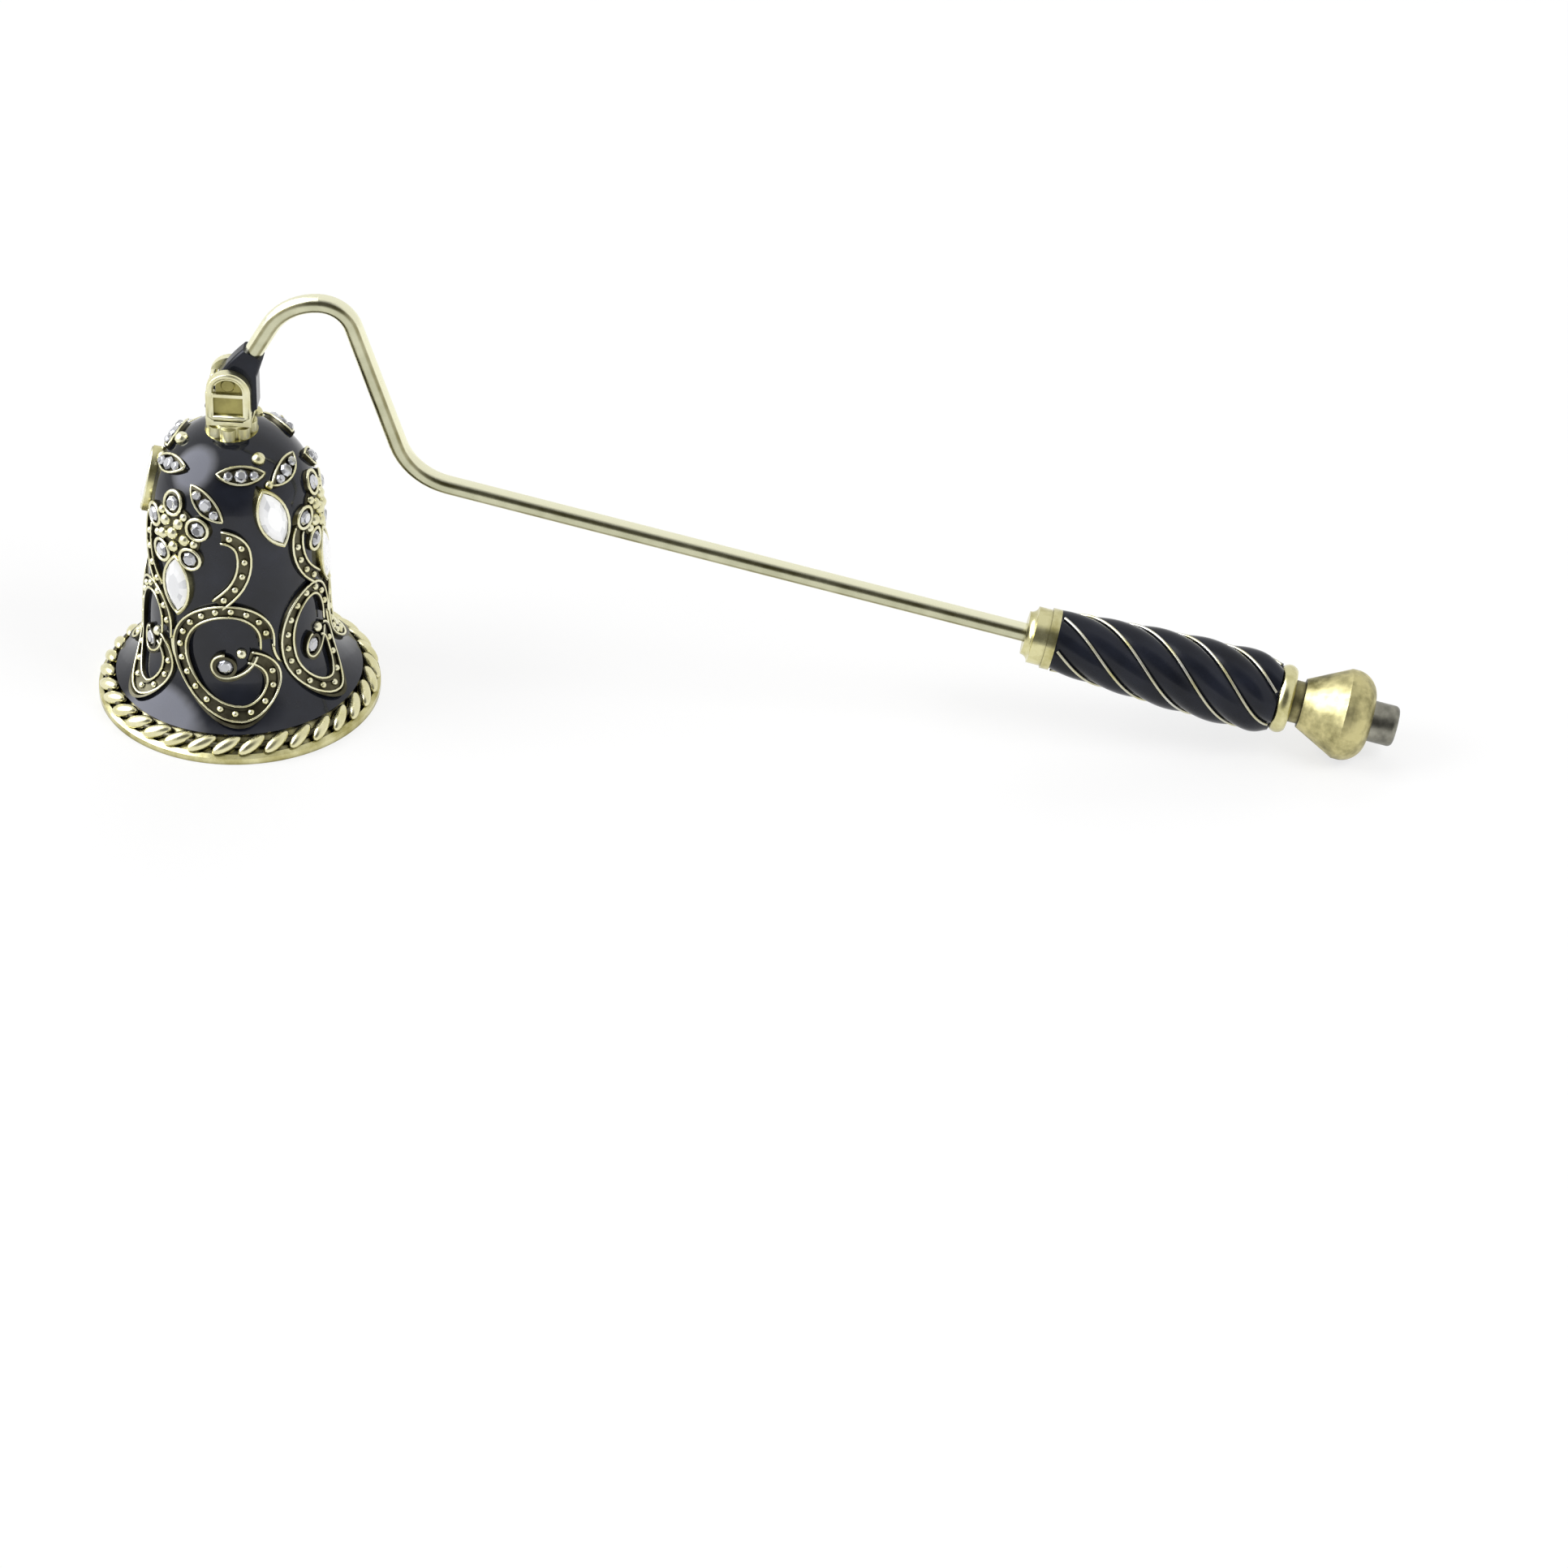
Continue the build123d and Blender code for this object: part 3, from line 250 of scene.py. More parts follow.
def petal_places(reach, step=0.0):
    """List places across and up from a flower's heart, at the petals or a step past them."""
    o = ornament()
    count = o.petal_count
    turns = [radians(o.petal_turn + 360 * (petal + step) / count) for petal in range(count)]
    return [(reach * cos(turn), reach * sin(turn)) for turn in turns]


def in_oval(azimuth, height, oval):
    """Tell whether a place lies in an upright oval, given by its place and its half sizes."""
    middle, level, half_across, half_rise = oval
    between = (azimuth - middle + 180) % 360 - 180
    across = radians(between) * bell_face(level)[0]
    return (across / half_across) ** 2 + ((height - level) / half_rise) ** 2 < 1


def is_covered(point, flowers=True):
    """Tell whether a flower or a large stone lies over a place of the bell."""
    o = ornament()
    azimuth = degrees(atan2(point.y, point.x)) - FRONT
    half_sizes = (o.gem_width / 2 + GEM_MARGIN, o.gem_length / 2 + GEM_MARGIN)
    ovals = [(*gem[:2], *half_sizes) for gem in GEMS]
    if flowers:
        ovals.append((o.flower_turn, o.flower_height, o.petal_reach, o.petal_reach))
        for across, up in petal_places(o.petal_reach):
            level = o.flower_height + up
            turn = o.flower_turn + degrees(across / bell_face(level)[0])
            ovals.append((turn, level, o.petal_radius, o.petal_radius))
    return any(in_oval(azimuth, point.z / MM, oval) for oval in round_bell(ovals))


# Making meshes


def make_object(bm, name, finish):
    """Turn a bmesh into an object of the scene, with its finish."""
    mesh = bpy.data.meshes.new(name)
    bm.to_mesh(mesh)
    bm.free()
    mesh.materials.append(finish)
    made = bpy.data.objects.new(name, mesh)
    bpy.context.scene.collection.objects.link(made)
    return made


def finish_piece(bm, name, body, finish, nodes=(), smooth=False):
    """Turn a bmesh into a named piece that rides on a body."""
    bmesh.ops.recalc_face_normals(bm, faces=bm.faces)
    piece = make_object(bm, name, finish)
    if smooth:
        piece.data.shade_smooth()
    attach(piece, body)
    if nodes:
        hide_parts(*nodes)
    return piece


def finish_trim(bm, name, finish="rail", nodes=(), smooth=True):
    """Turn a bmesh into brass trim on the bell."""
    finish_piece(bm, name, "bell", finishes[finish], nodes, smooth)


def pick(parts, kind):
    """Pick out the parts of a kind."""
    return [part for part in parts if isinstance(part, kind)]


def add_bead(bm, matrix, size, around=14, rings=10):
    """Add a round bead of a size in millimetres."""
    radius = size / 2 * MM
    bmesh.ops.create_uvsphere(bm, u_segments=around, v_segments=rings, radius=radius, matrix=matrix)


def path_frame(path, index, closed):
    """Give the frame of a tube's section at one place of its path."""
    count = len(path)
    if closed:
        ahead = path[(index + 1) % count][0] - path[(index - 1) % count][0]
    else:
        ahead = path[min(index + 1, count - 1)][0] - path[max(index - 1, 0)][0]
    along = ahead.normalized()
    side = along.cross(path[index][1]).normalized()
    return frame_at(path[index][0], side, side.cross(along) * -1, along)


def run_tube(bm, path, width, sides=8, closed=False):
    """Run a round tube along points with normals, by extruding a circle from place to place."""
    radius = width / 2 * MM
    last = path_frame(path, 0, closed)
    ring = bmesh.ops.create_circle(bm, cap_ends=not closed, radius=radius, segments=sides, matrix=last)
    first_edges = list({edge for vert in ring["verts"] for edge in vert.link_edges})
    edges = first_edges
    for index in range(1, len(path)):
        made = bmesh.ops.extrude_edge_only(bm, edges=edges)["geom"]
        verts = pick(made, bmesh.types.BMVert)
        ends = set(verts)
        edges = [edge for edge in pick(made, bmesh.types.BMEdge) if ends.issuperset(edge.verts)]
        here = path_frame(path, index, closed)
        bmesh.ops.transform(bm, matrix=here @ last.inverted(), verts=verts)
        last = here
    if closed:
        bmesh.ops.bridge_loops(bm, edges=edges + first_edges)
    else:
        bmesh.ops.edgeloop_fill(bm, edges=edges)


def run_clear(bm, path, width, flowers=True):
    """Run tubes along the parts of a path that no flower or large stone covers."""
    stretch = []
    for place in path + [None]:
        if place is not None and not is_covered(place[0], flowers):
            stretch.append(place)
            continue
        if len(stretch) > 2:
            run_tube(bm, stretch, width)
        stretch = []


def chain_places(start, heading, arcs, step=8):
    """List points along tangent arcs, each a radius and a turn in degrees, and the last heading."""
    places = [Vector(start)]
    for radius, turn in arcs:
        side = 1 if turn > 0 else -1
        out = Vector((sin(radians(heading)), -cos(radians(heading)))) * side * radius
        centre = places[-1] - out
        count = max(2, ceil(abs(turn) / step))
        for number in range(1, count + 1):
            places.append(centre + rotated(out, turn * number / count))
        heading += turn
    return places, heading


def rotated(arrow, turn):
    """Turn a flat arrow by degrees."""
    return Vector((lean(arrow.x, -arrow.y, turn), lean(arrow.y, arrow.x, turn)))


def shift_line(places, offset):
    """Move a line of points to its left by the offset."""
    shifted = []
    for index, place in enumerate(places):
        ahead = places[min(index + 1, len(places) - 1)] - places[max(index - 1, 0)]
        shifted.append(place + Vector((-ahead.y, ahead.x)).normalized() * offset)
    return shifted


def scroll_arcs(radii, turns, size):
    """Pair the arcs' radii, given as shares of the size, with their turns."""
    return [(radius * size, turn) for radius, turn in zip(radii, turns)]


# Finishes


def new_finish(name):
    """Start a material and hand back its node tree and its shader."""
    material = bpy.data.materials.new(name)
    material.use_nodes = True
    tree = material.node_tree
    shader = next(node for node in tree.nodes if node.type == "BSDF_PRINCIPLED")
    return material, tree, shader


def set_inputs(node, values):
    """Give a node's inputs their plain values."""
    for name, value in values.items():
        node.inputs[name].default_value = value


def add_noise(tree, scale, detail=3, rough=0.5):
    """Add a noise pattern on the piece's own coordinates."""
    place = tree.nodes.new("ShaderNodeTexCoord")
    noise = tree.nodes.new("ShaderNodeTexNoise")
    set_inputs(noise, {"Scale": scale, "Detail": detail, "Roughness": rough})
    tree.links.new(place.outputs["Object"], noise.inputs["Vector"])
    return noise.outputs["Fac"]


def add_ramp(tree, source, stops):
    """Map a value to colours, given as pairs of a place and a colour."""
    ramp = tree.nodes.new("ShaderNodeValToRGB")
    while len(ramp.color_ramp.elements) < len(stops):
        ramp.color_ramp.elements.new(0.5)
    for element, (place, value) in zip(ramp.color_ramp.elements, stops):
        element.position = place
        element.color = (*value, 1)
    tree.links.new(source, ramp.inputs["Fac"])
    return ramp.outputs["Color"]


def grey(value):
    return (value, value, value)


def add_mix(tree, share, first, second):
    """Mix two colours, each a socket or a plain colour, by a share from a socket."""
    mix = tree.nodes.new("ShaderNodeMix")
    mix.data_type = "RGBA"
    tree.links.new(share, mix.inputs["Factor"])
    for name, value in (("A", first), ("B", second)):
        socket = [entry for entry in mix.inputs if entry.name == name and entry.type == "RGBA"][0]
        if isinstance(value, bpy.types.NodeSocket):
            tree.links.new(value, socket)
        else:
            socket.default_value = (*value, 1)
    return [entry for entry in mix.outputs if entry.type == "RGBA"][0]


def add_math(tree, operation, *values):
    """Work out a value from others, each a socket or a number."""
    node = tree.nodes.new("ShaderNodeMath")
    node.operation = operation
    for socket, value in zip(node.inputs, values):
        if isinstance(value, bpy.types.NodeSocket):
            tree.links.new(value, socket)
        else:
            socket.default_value = value
    return node.outputs[0]


def blend_shaders(tree, share, first, second):
    """Blend two shaders by a share."""
    mix = tree.nodes.new("ShaderNodeMixShader")
    for socket, source in zip(mix.inputs, (share, first, second)):
        tree.links.new(source, socket)
    return mix.outputs[0]


def add_bump(tree, shader, source, strength, depth):
    """Raise fine relief from a pattern."""
    bump = tree.nodes.new("ShaderNodeBump")
    set_inputs(bump, {"Strength": strength, "Distance": depth})
    tree.links.new(source, bump.inputs["Height"])
    tree.links.new(bump.outputs["Normal"], shader.inputs["Normal"])


WEAR_SCALE = 900
GRAIN_SCALE = 600
GRAIN_DEPTH = 0.0001


def add_wear(tree, shader, polish, dull, relief):
    """Vary a metal's polish and give it a fine grain."""
    wear = add_ramp(tree, add_noise(tree, WEAR_SCALE, 3), [(0.3, grey(polish)), (0.75, grey(dull))])
    tree.links.new(wear, shader.inputs["Roughness"])
    add_bump(tree, shader, add_noise(tree, GRAIN_SCALE, 2), relief, GRAIN_DEPTH)


PATCH_SCALE = 210
WEAR_SPREAD = 0.14
SHADE_SAMPLES = 8


def brass_finish(name, bright, deep, recess, reach, polish, cover):
    """Make brass that is toned in soft patches, with painted shade mixed into its recesses by ambient
    occlusion, standing also for antique blackening.
    """
    material, tree, shader = new_finish(name)
    shader.inputs["Metallic"].default_value = 1.0
    patches = add_ramp(tree, add_noise(tree, PATCH_SCALE, 5, 0.6), [(0.32, deep), (0.6, bright)])
    # Painted shade: ambient occlusion mixes the recess colour into the brass where the recesses are
    # deep.
    occlusion_shade = tree.nodes.new("ShaderNodeAmbientOcclusion")
    occlusion_shade.samples = SHADE_SAMPLES
    occlusion_shade.inputs["Distance"].default_value = reach
    unshaded_share = add_ramp(tree, occlusion_shade.outputs["AO"], [(cover[0], grey(0)), (cover[1], grey(1))])
    tree.links.new(add_mix(tree, unshaded_share, recess, patches), shader.inputs["Base Color"])
    add_wear(tree, shader, polish, polish + WEAR_SPREAD, 0.08)
    return material


ROD_RADIUS = 1.6
# Painted light across the rod's depth: ramp stops, then the highlight, dark reflection line and face
# reflection colours.
ROD_LIGHT_STOPS = (0.0, 0.70, 0.79, 0.90, 0.97)
ROD_HIGHLIGHT = (0.95, 0.94, 0.70)
ROD_DARK_REFLECTION = (0.20, 0.18, 0.07)
ROD_FACE_REFLECTION = (0.50, 0.50, 0.34)
ROD_WEAR_SCALE = 260
ROD_POLISH = (0.2, 0.3)


def rod_finish(name, bright):
    """Make a polished rod with painted light across its depth: a painted highlight along the edges in
    its own plane, a painted dark reflection as a line along each face and a greyer painted reflection
    in the middle of each face, under random wear.
    """
    material, tree, shader = new_finish(name)
    place = tree.nodes.new("ShaderNodeTexCoord")
    split = tree.nodes.new("ShaderNodeSeparateXYZ")
    tree.links.new(place.outputs["Object"], split.inputs["Vector"])
    across = add_math(tree, "ABSOLUTE", split.outputs["Y"])
    share = add_math(tree, "DIVIDE", across, ROD_RADIUS * MM)
    # Painted light by depth: highlight at the rod's in-plane edges, a dark reflection line and a greyer
    # reflection on its front and back faces.
    painted_light = (ROD_HIGHLIGHT, bright, ROD_DARK_REFLECTION, ROD_DARK_REFLECTION, ROD_FACE_REFLECTION)
    tone = add_ramp(tree, share, list(zip(ROD_LIGHT_STOPS, painted_light)))
    worn = add_ramp(tree, add_noise(tree, ROD_WEAR_SCALE, 4), [(0.35, grey(0)), (0.75, grey(0.35))])
    tree.links.new(add_mix(tree, worn, tone, bright), shader.inputs["Base Color"])
    shader.inputs["Metallic"].default_value = 1.0
    add_wear(tree, shader, *ROD_POLISH, 0.05)
    return material


ENAMEL_TONE_SCALE = 140
ENAMEL_TONE_LIFT = 2.2
ENAMEL_WAVE_SCALE = 170
ENAMEL_WAVE_DEPTH = 0.0003


def enamel_finish(name, rough, gloss):
    """Make glossy black enamel with a slightly uneven surface."""
    material, tree, shader = new_finish(name)
    base = colours().enamel
    lighter = [value * ENAMEL_TONE_LIFT for value in base]
    tone = add_ramp(tree, add_noise(tree, ENAMEL_TONE_SCALE, 3), [(0.35, base), (0.7, lighter)])
    tree.links.new(tone, shader.inputs["Base Color"])
    set_inputs(shader, {"Roughness": rough, "Specular IOR Level": gloss})
    add_bump(tree, shader, add_noise(tree, ENAMEL_WAVE_SCALE, 2), 0.25, ENAMEL_WAVE_DEPTH)
    return material


CRYSTAL_ROUGH = 0.05
COAT_ROUGH = 0.02


def crystal_finish(name, pale, dim, metal):
    """Make foil-backed crystal whose facets carry painted reflections, from dim to pale."""
    material, tree, shader = new_finish(name)
    # Each facet's painted reflection, from dim to pale, picks its colour.
    tone = tree.nodes.new("ShaderNodeAttribute")
    tone.attribute_name = "facet_glint"
    middle = [(low + 2 * high) / 3 for low, high in zip(dim, pale)]
    tint = add_ramp(tree, tone.outputs["Fac"], [(0.0, dim), (0.45, middle), (1.0, pale)])
    tree.links.new(tint, shader.inputs["Base Color"])
    set_inputs(shader, {"Metallic": metal, "Roughness": CRYSTAL_ROUGH})
    set_inputs(shader, {"Coat Weight": 1.0, "Coat Roughness": COAT_ROUGH})
    return material


STEEL_TONE_SCALE = 260
STEEL_DARK_SHARE = 0.25
STEEL_ROUGH = 0.34
STEEL_MARK_SCALE = 1500


def steel_finish(name):
    """Make darkened steel with turning marks."""
    material, tree, shader = new_finish(name)
    steel = colours().steel
    dark = [value * STEEL_DARK_SHARE for value in steel]
    tone = add_ramp(tree, add_noise(tree, STEEL_TONE_SCALE, 4), [(0.35, dark), (0.65, steel)])
    tree.links.new(tone, shader.inputs["Base Color"])
    set_inputs(shader, {"Metallic": 1.0, "Roughness": STEEL_ROUGH})
    add_bump(tree, shader, add_noise(tree, STEEL_MARK_SCALE, 2), 0.2, GRAIN_DEPTH)
    return material


finishes = {}
SILVER = (0.66, 0.65, 0.57)
SMOKE = (0.12, 0.112, 0.07)
WARM_BRASS = (0.64, 0.58, 0.29)
PALE_BRASS = (0.85, 0.81, 0.52)
# Ramps from ambient occlusion to the painted recess shade: full shade below the first value, none above
# the second.
COVER = (0.25, 0.8)
THIN_COVER = (0.1, 0.5)


def build_brasses():
    """Make the brass finishes: key, name, colours, reach of the painted shade in the recesses, polish
    and cover of that shade.
    """
    c = colours()
    dark = [value * 0.4 for value in c.brass_deep]
    olive = [value * 0.62 for value in c.brass_deep]
    soft = [(low + high) / 2 for low, high in zip(c.brass_deep, c.brass)]
    # Every brass mixes painted shade into its recesses; the mottled brass's wide reach and high cover
    # spread it furthest.
    brasses = (
        ("brass", "antique_brass", c.brass, c.brass_deep, c.recess, 0.0012, 0.16, COVER),
        ("rail", "rubbed_brass", c.rubbed, c.brass, c.recess, 0.0006, 0.22, THIN_COVER),
        ("rope", "rope_brass", PALE_BRASS, c.brass, c.recess, 0.0008, 0.2, (0.2, 0.6)),
        ("yoke", "yoke_brass", c.rubbed, c.brass, c.brass_deep, 0.0009, 0.3, (0.15, 0.6)),
        ("spiral", "pale_wire", SILVER, soft, c.recess, 0.0004, 0.34, THIN_COVER),
        ("mottled", "mottled_brass", WARM_BRASS, dark, c.recess, 0.0024, 0.38, (0.42, 0.94)),
        ("floor", "blackened_brass", SMOKE, c.recess, c.recess, 0.001, 0.35, COVER),
        ("field", "toned_brass", c.brass_deep, olive, dark, 0.0012, 0.3, COVER),
    )
    for key, *values in brasses:
        finishes[key] = brass_finish(*values)


CRYSTAL_DIM_SHARES = (0.16, 0.16, 0.17)


def build_finishes():
    """Make each finish once."""
    c = colours()
    build_brasses()
    finishes["wire"] = rod_finish("polished_rod", c.rubbed)
    finishes["enamel"] = enamel_finish("black_enamel", 0.09, 0.42)
    finishes["grip"] = enamel_finish("grip_enamel", 0.16, 0.24)
    # Dim and pale colours of the painted facet reflections.
    pale = [value * 0.86 for value in c.crystal]
    dim = [value * share for value, share in zip(pale, CRYSTAL_DIM_SHARES)]
    finishes["crystal"] = crystal_finish("foiled_crystal", pale, dim, 0.7)
    dim = [value * 0.78 for value in c.crystal]
    finishes["pale_crystal"] = crystal_finish("pale_crystal", (1, 1, 1), dim, 0.12)
    finishes["steel"] = steel_finish("dark_steel")


NODE_FINISH = {
    "brass": (
        "bell_shell", "rope_border", "navette_settings", "ferrule", "grip_core", "rear_ring",
    ),
    "yoke": ("crown_yoke",),
    "field": ("hinge_pin", "pin_cap"),
    "mottled": ("pommel",),
    "spiral": ("grip_spiral_wires",),
    "rail": ("medallion_beads", "stem_beads", "flower_beads"),
    "wire": ("neck_rod",),
    "floor": ("scroll_medallions", "scroll_stems", "flower_rosettes", "leaf_sprigs"),
    "enamel": ("bell_enamel",),
    "grip": ("grip_enamel", "arm_tongue"),
    "crystal": ("medallion_crystals", "flower_crystals", "leaf_crystals", "navette_crystals"),
    "steel": ("crown_washer", "crown_nut", "end_nut"),
}


class SnufferFinishes(bpy.types.Operator):
    """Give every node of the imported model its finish"""

    bl_idname = "snuffer.finishes"
    bl_label = "Finishes"

    def execute(self, context):
        build_finishes()
        for finish, names in NODE_FINISH.items():
            for name in names:
                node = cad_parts[name]
                node.data.materials.clear()
                node.data.materials.append(finishes[finish])
        return {"FINISHED"}


ARC_RINGS = 24
WALL_RINGS = 8
SHELL_STEPS = 144
SHARP_EDGE = 50


class SnufferEnamel(bpy.types.Operator):
    """Turn the bell's enamel as one smooth shell"""

    bl_idname = "snuffer.enamel"
    bl_label = "Bell enamel"

    def execute(self, context):
        b = bell()
        taper = bell_face(b.shoulder_height)[1]
        centre = b.shoulder_radius - b.dome_radius * cos(taper)
        level = b.shoulder_height - b.dome_radius * sin(taper)
        top = acos((b.crown_radius - centre) / b.dome_radius)
        rise = b.waist_height - b.flare_end
        wall = b.shoulder_height - b.waist_height
        heights = [b.flare_end + rise * number / ARC_RINGS for number in range(ARC_RINGS)]
        heights += [b.waist_height + wall * number / WALL_RINGS for number in range(WALL_RINGS)]
        for number in range(ARC_RINGS + 1):
            heights.append(level + b.dome_radius * sin(taper + (top - taper) * number / ARC_RINGS))
        outside = []
        inside = []
        for height in heights:
            radius, slope = bell_face(height)
            outside.append((radius, height))
            inside.append((radius - b.enamel * cos(slope), height - b.enamel * sin(slope)))
        bm = bmesh.new()
        section = outside + inside[::-1]
        verts = [bm.verts.new((radius * MM, 0, height * MM)) for radius, height in section]
        edges = [bm.edges.new((verts[index - 1], verts[index])) for index in range(len(verts))]
        axis = {"cent": (0, 0, 0), "axis": (0, 0, 1), "angle": 2 * pi}
        bmesh.ops.spin(bm, geom=verts + edges, steps=SHELL_STEPS, use_merge=True, **axis)
        finish = finishes["enamel"]
        piece = finish_piece(bm, "enamel_shell", "bell", finish, ["bell_enamel"], True)
        piece.data.set_sharp_from_angle(angle=radians(SHARP_EDGE))
        return {"FINISHED"}


# Scrollwork

SCROLL_START = (0.77, 0.45)
SCROLL_TAIL = 0.2
QUARTERS = (0.25, 0.5, 0.75, 1)
LINK_LIFT = 0.3
LINK_WIDTH = 0.6
SCROLL_LINK = ((0, 0.14), (0.0, 0.22), (0.015, 0.32), (0.04, 0.42), (0.08, 0.52), (0.13, 0.62))
SCROLL_ARCS = ((0.74, 1.02, 1.28, 0.60, 0.62), (90, 90, 90, 90, 75))
CURL_START = (-0.07, 0.14)
CURL_ARCS = ((0.27, 0.67), (180, 75))
STONE_SHARE = (-0.07, -0.13)
STEM_START = (-0.22, 3.16)
STEM_ARCS = ((0.29, 0.76), (-80, -55))
STEM_FOOT = 0.2
STEM_SIDES = ((1, 5), (-1, 52))


def scroll_lines(stretch):
    """List the middle lines of one medallion's rails, as places across and up."""
    o = ornament()
    base = Vector((0, o.scroll_height))
    size = o.scroll_size
    band = chain_places(base + Vector(SCROLL_START) * size, 90, scroll_arcs(*SCROLL_ARCS, size))[0]
    tail = [band[0] - Vector((0, SCROLL_TAIL * share * size)) for share in reversed(QUARTERS)]
    band = tail + band
    curl = chain_places(base + Vector(CURL_START) * size, 180, scroll_arcs(*CURL_ARCS, size))[0]
    band, curl = [[Vector((place.x * stretch, place.y)) for place in line] for line in (band, curl)]
    edge = (o.band_width - o.rail_width) / 2
    return [shift_line(band, -edge), shift_line(band, edge), curl]


def scroll_link(stretch):
    """List the places of the wire that joins the band's start to the loop below it."""
    o = ornament()
    start = Vector(SCROLL_START) * o.scroll_size
    link = []
    for across, drop in SCROLL_LINK:
        place = start + Vector((across, -drop)) * o.scroll_size
        side = (o.band_width - o.rail_width) / 2
        link.append(Vector((place.x * stretch + side, place.y + o.scroll_height)))
    return link


class SnufferScrolls(bpy.types.Operator):
    """Lay round rails on the medallions' bands and the wires that join them to their loops"""

    bl_idname = "snuffer.scrolls"
    bl_label = "Medallion rails"

    def execute(self, context):
        o = ornament()
        bm = bmesh.new()
        for number in range(2 * SECTORS):
            azimuth = o.scroll_turn + 180 * number / SECTORS
            stretch = o.narrow_stretch if number % 2 else 1
            for line in scroll_lines(stretch):
                run_clear(bm, sheet_path(azimuth, line, o.rail_lift), o.rail_width, False)
            run_tube(bm, sheet_path(azimuth, scroll_link(stretch), LINK_LIFT), LINK_WIDTH)
        finish_trim(bm, "scroll_rails")
        return {"FINISHED"}


class SnufferStems(bpy.types.Operator):
    """Lay round rails on the stems' bands"""

    bl_idname = "snuffer.stems"
    bl_label = "Stem rails"

    def execute(self, context):
        o = ornament()
        bm = bmesh.new()
        size = o.stem_size
        for side, azimuth in STEM_SIDES:
            start = (STEM_START[0] * size * side, STEM_START[1] * size)
            arcs = [(radius, turn * side) for radius, turn in scroll_arcs(*STEM_ARCS, size)]
            line, heading = chain_places(start, 90 - 90 * side, arcs)
            foot = Vector((cos(radians(heading)), sin(radians(heading)))) * STEM_FOOT * size
            line = line + [line[-1] + foot * share for share in QUARTERS]
            for edge in (-1, 1):
                rail = shift_line(line, edge * (o.stem_width - o.rail_width) / 2)
                for (turn,) in round_bell([(azimuth,)]):
                    run_clear(bm, sheet_path(turn, rail, o.rail_lift), o.rail_width)
        finish_trim(bm, "stem_rails")
        return {"FINISHED"}


def pointed_oval(length, width, steps=10):
    """List places round a pointed oval made of two arcs."""
    rise = width / 2
    radius = ((length / 2) ** 2 + rise**2) / (2 * rise)
    half = asin(length / 2 / radius)
    places = []
    for side in (1, -1):
        for number in range(steps):
            angle = half * (1 - 2 * number / steps) * side
            places.append((radius * sin(angle), side * (radius * cos(angle) - radius + rise)))
    return places


def lay_outline(azimuth, height, turn, outline, lift):
    """Wrap an outline round a place on the bell."""
    path = []
    base_radius, slope = bell_face(height)
    for x, y in outline:
        level = height + lean(y, x, turn) * cos(slope)
        radius = (bell_face(level)[0] + base_radius) / 2
        path.append(bell_spot(azimuth + degrees(lean(x, -y, turn) / radius), level, lift))
    return path


RING_PLACES = 18
SEED_LIFT = 0.45


class SnufferFlowers(bpy.types.Operator):
    """Lay round rings on the petals, beads round the hearts and rims on the leaves"""

    bl_idname = "snuffer.flowers"
    bl_label = "Petal rings and leaf rims"

    def execute(self, context):
        o = ornament()
        flowers = round_bell([(o.flower_turn, o.flower_height)])
        ring = o.petal_radius - o.petal_rail / 2
        turns = full_turn(RING_PLACES)
        bm = bmesh.new()
        for azimuth, height in flowers:
            for across, up in petal_places(o.petal_reach):
                outline = [(across + ring * cos(turn), up + ring * sin(turn)) for turn in turns]
                path = lay_outline(azimuth, height, 0, outline, o.rail_lift)
                run_tube(bm, path, o.petal_rail, closed=True)
        finish_trim(bm, "petal_rings")
        bm = bmesh.new()
        seeds = [(0, 0, o.heart_bead)]
        seeds += [(across, up, o.seed_bead) for across, up in petal_places(o.seed_reach, 0.5)]
        for azimuth, height in flowers:
            for across, up, size in seeds:
                point = lay_outline(azimuth, height, 0, [(across, up)], SEED_LIFT)[0][0]
                add_bead(bm, Matrix.Translation(point), size)
        finish_trim(bm, "flower_seeds")
        bm = bmesh.new()
        outline = pointed_oval(o.leaf_length - o.rail_width, o.leaf_width - o.rail_width)
        for azimuth, height, turn in round_bell(LEAVES):
            path = lay_outline(azimuth, height, turn, outline, o.rail_lift)
            run_clear(bm, path + path[:1], o.rail_width)
        finish_trim(bm, "leaf_rims")
        return {"FINISHED"}


# Stones


FACETS = 8
GLINT_STEP = 12.9898
GLINT_WAVE = 4.1
GIRDLE_SHARE = 0.3
CROWN_ROWS = ((0.13, 0.45), (0.1, 0.2))
GEM_STEPS = 6
GEM_GIRDLE = 0.65
GEM_ROWS = ((0.76, 0.45), (0.5 / 0.76, 0.3))
STONE_HEIGHT = 0.85
LEAF_STONE_HEIGHT = 0.8
STONE_LIFT = 0.1
PLATE_LIFT = 0.45
GEM_LIFT = 0.05
SECTOR_TURN = 11
LEAF_SEED = 1.5
GEM_SEED = 3.3


def paint_facet_glints(bm, seed):
    """Paint each facet a reflection of its own brightness, from its number."""
    glints = bm.faces.layers.float.new("facet_glint")
    for number, face in enumerate(bm.faces):
        face[glints] = 0.5 + 0.5 * sin(GLINT_STEP * (number + 1) + seed) * cos(GLINT_WAVE * number + seed)


def finish_stones(bm, name, node, seed, finish="crystal"):
    """Paint reflections on the facets of stones and let them stand for their node."""
    paint_facet_glints(bm, seed)
    finish_piece(bm, name, "bell", finishes[finish], [node])


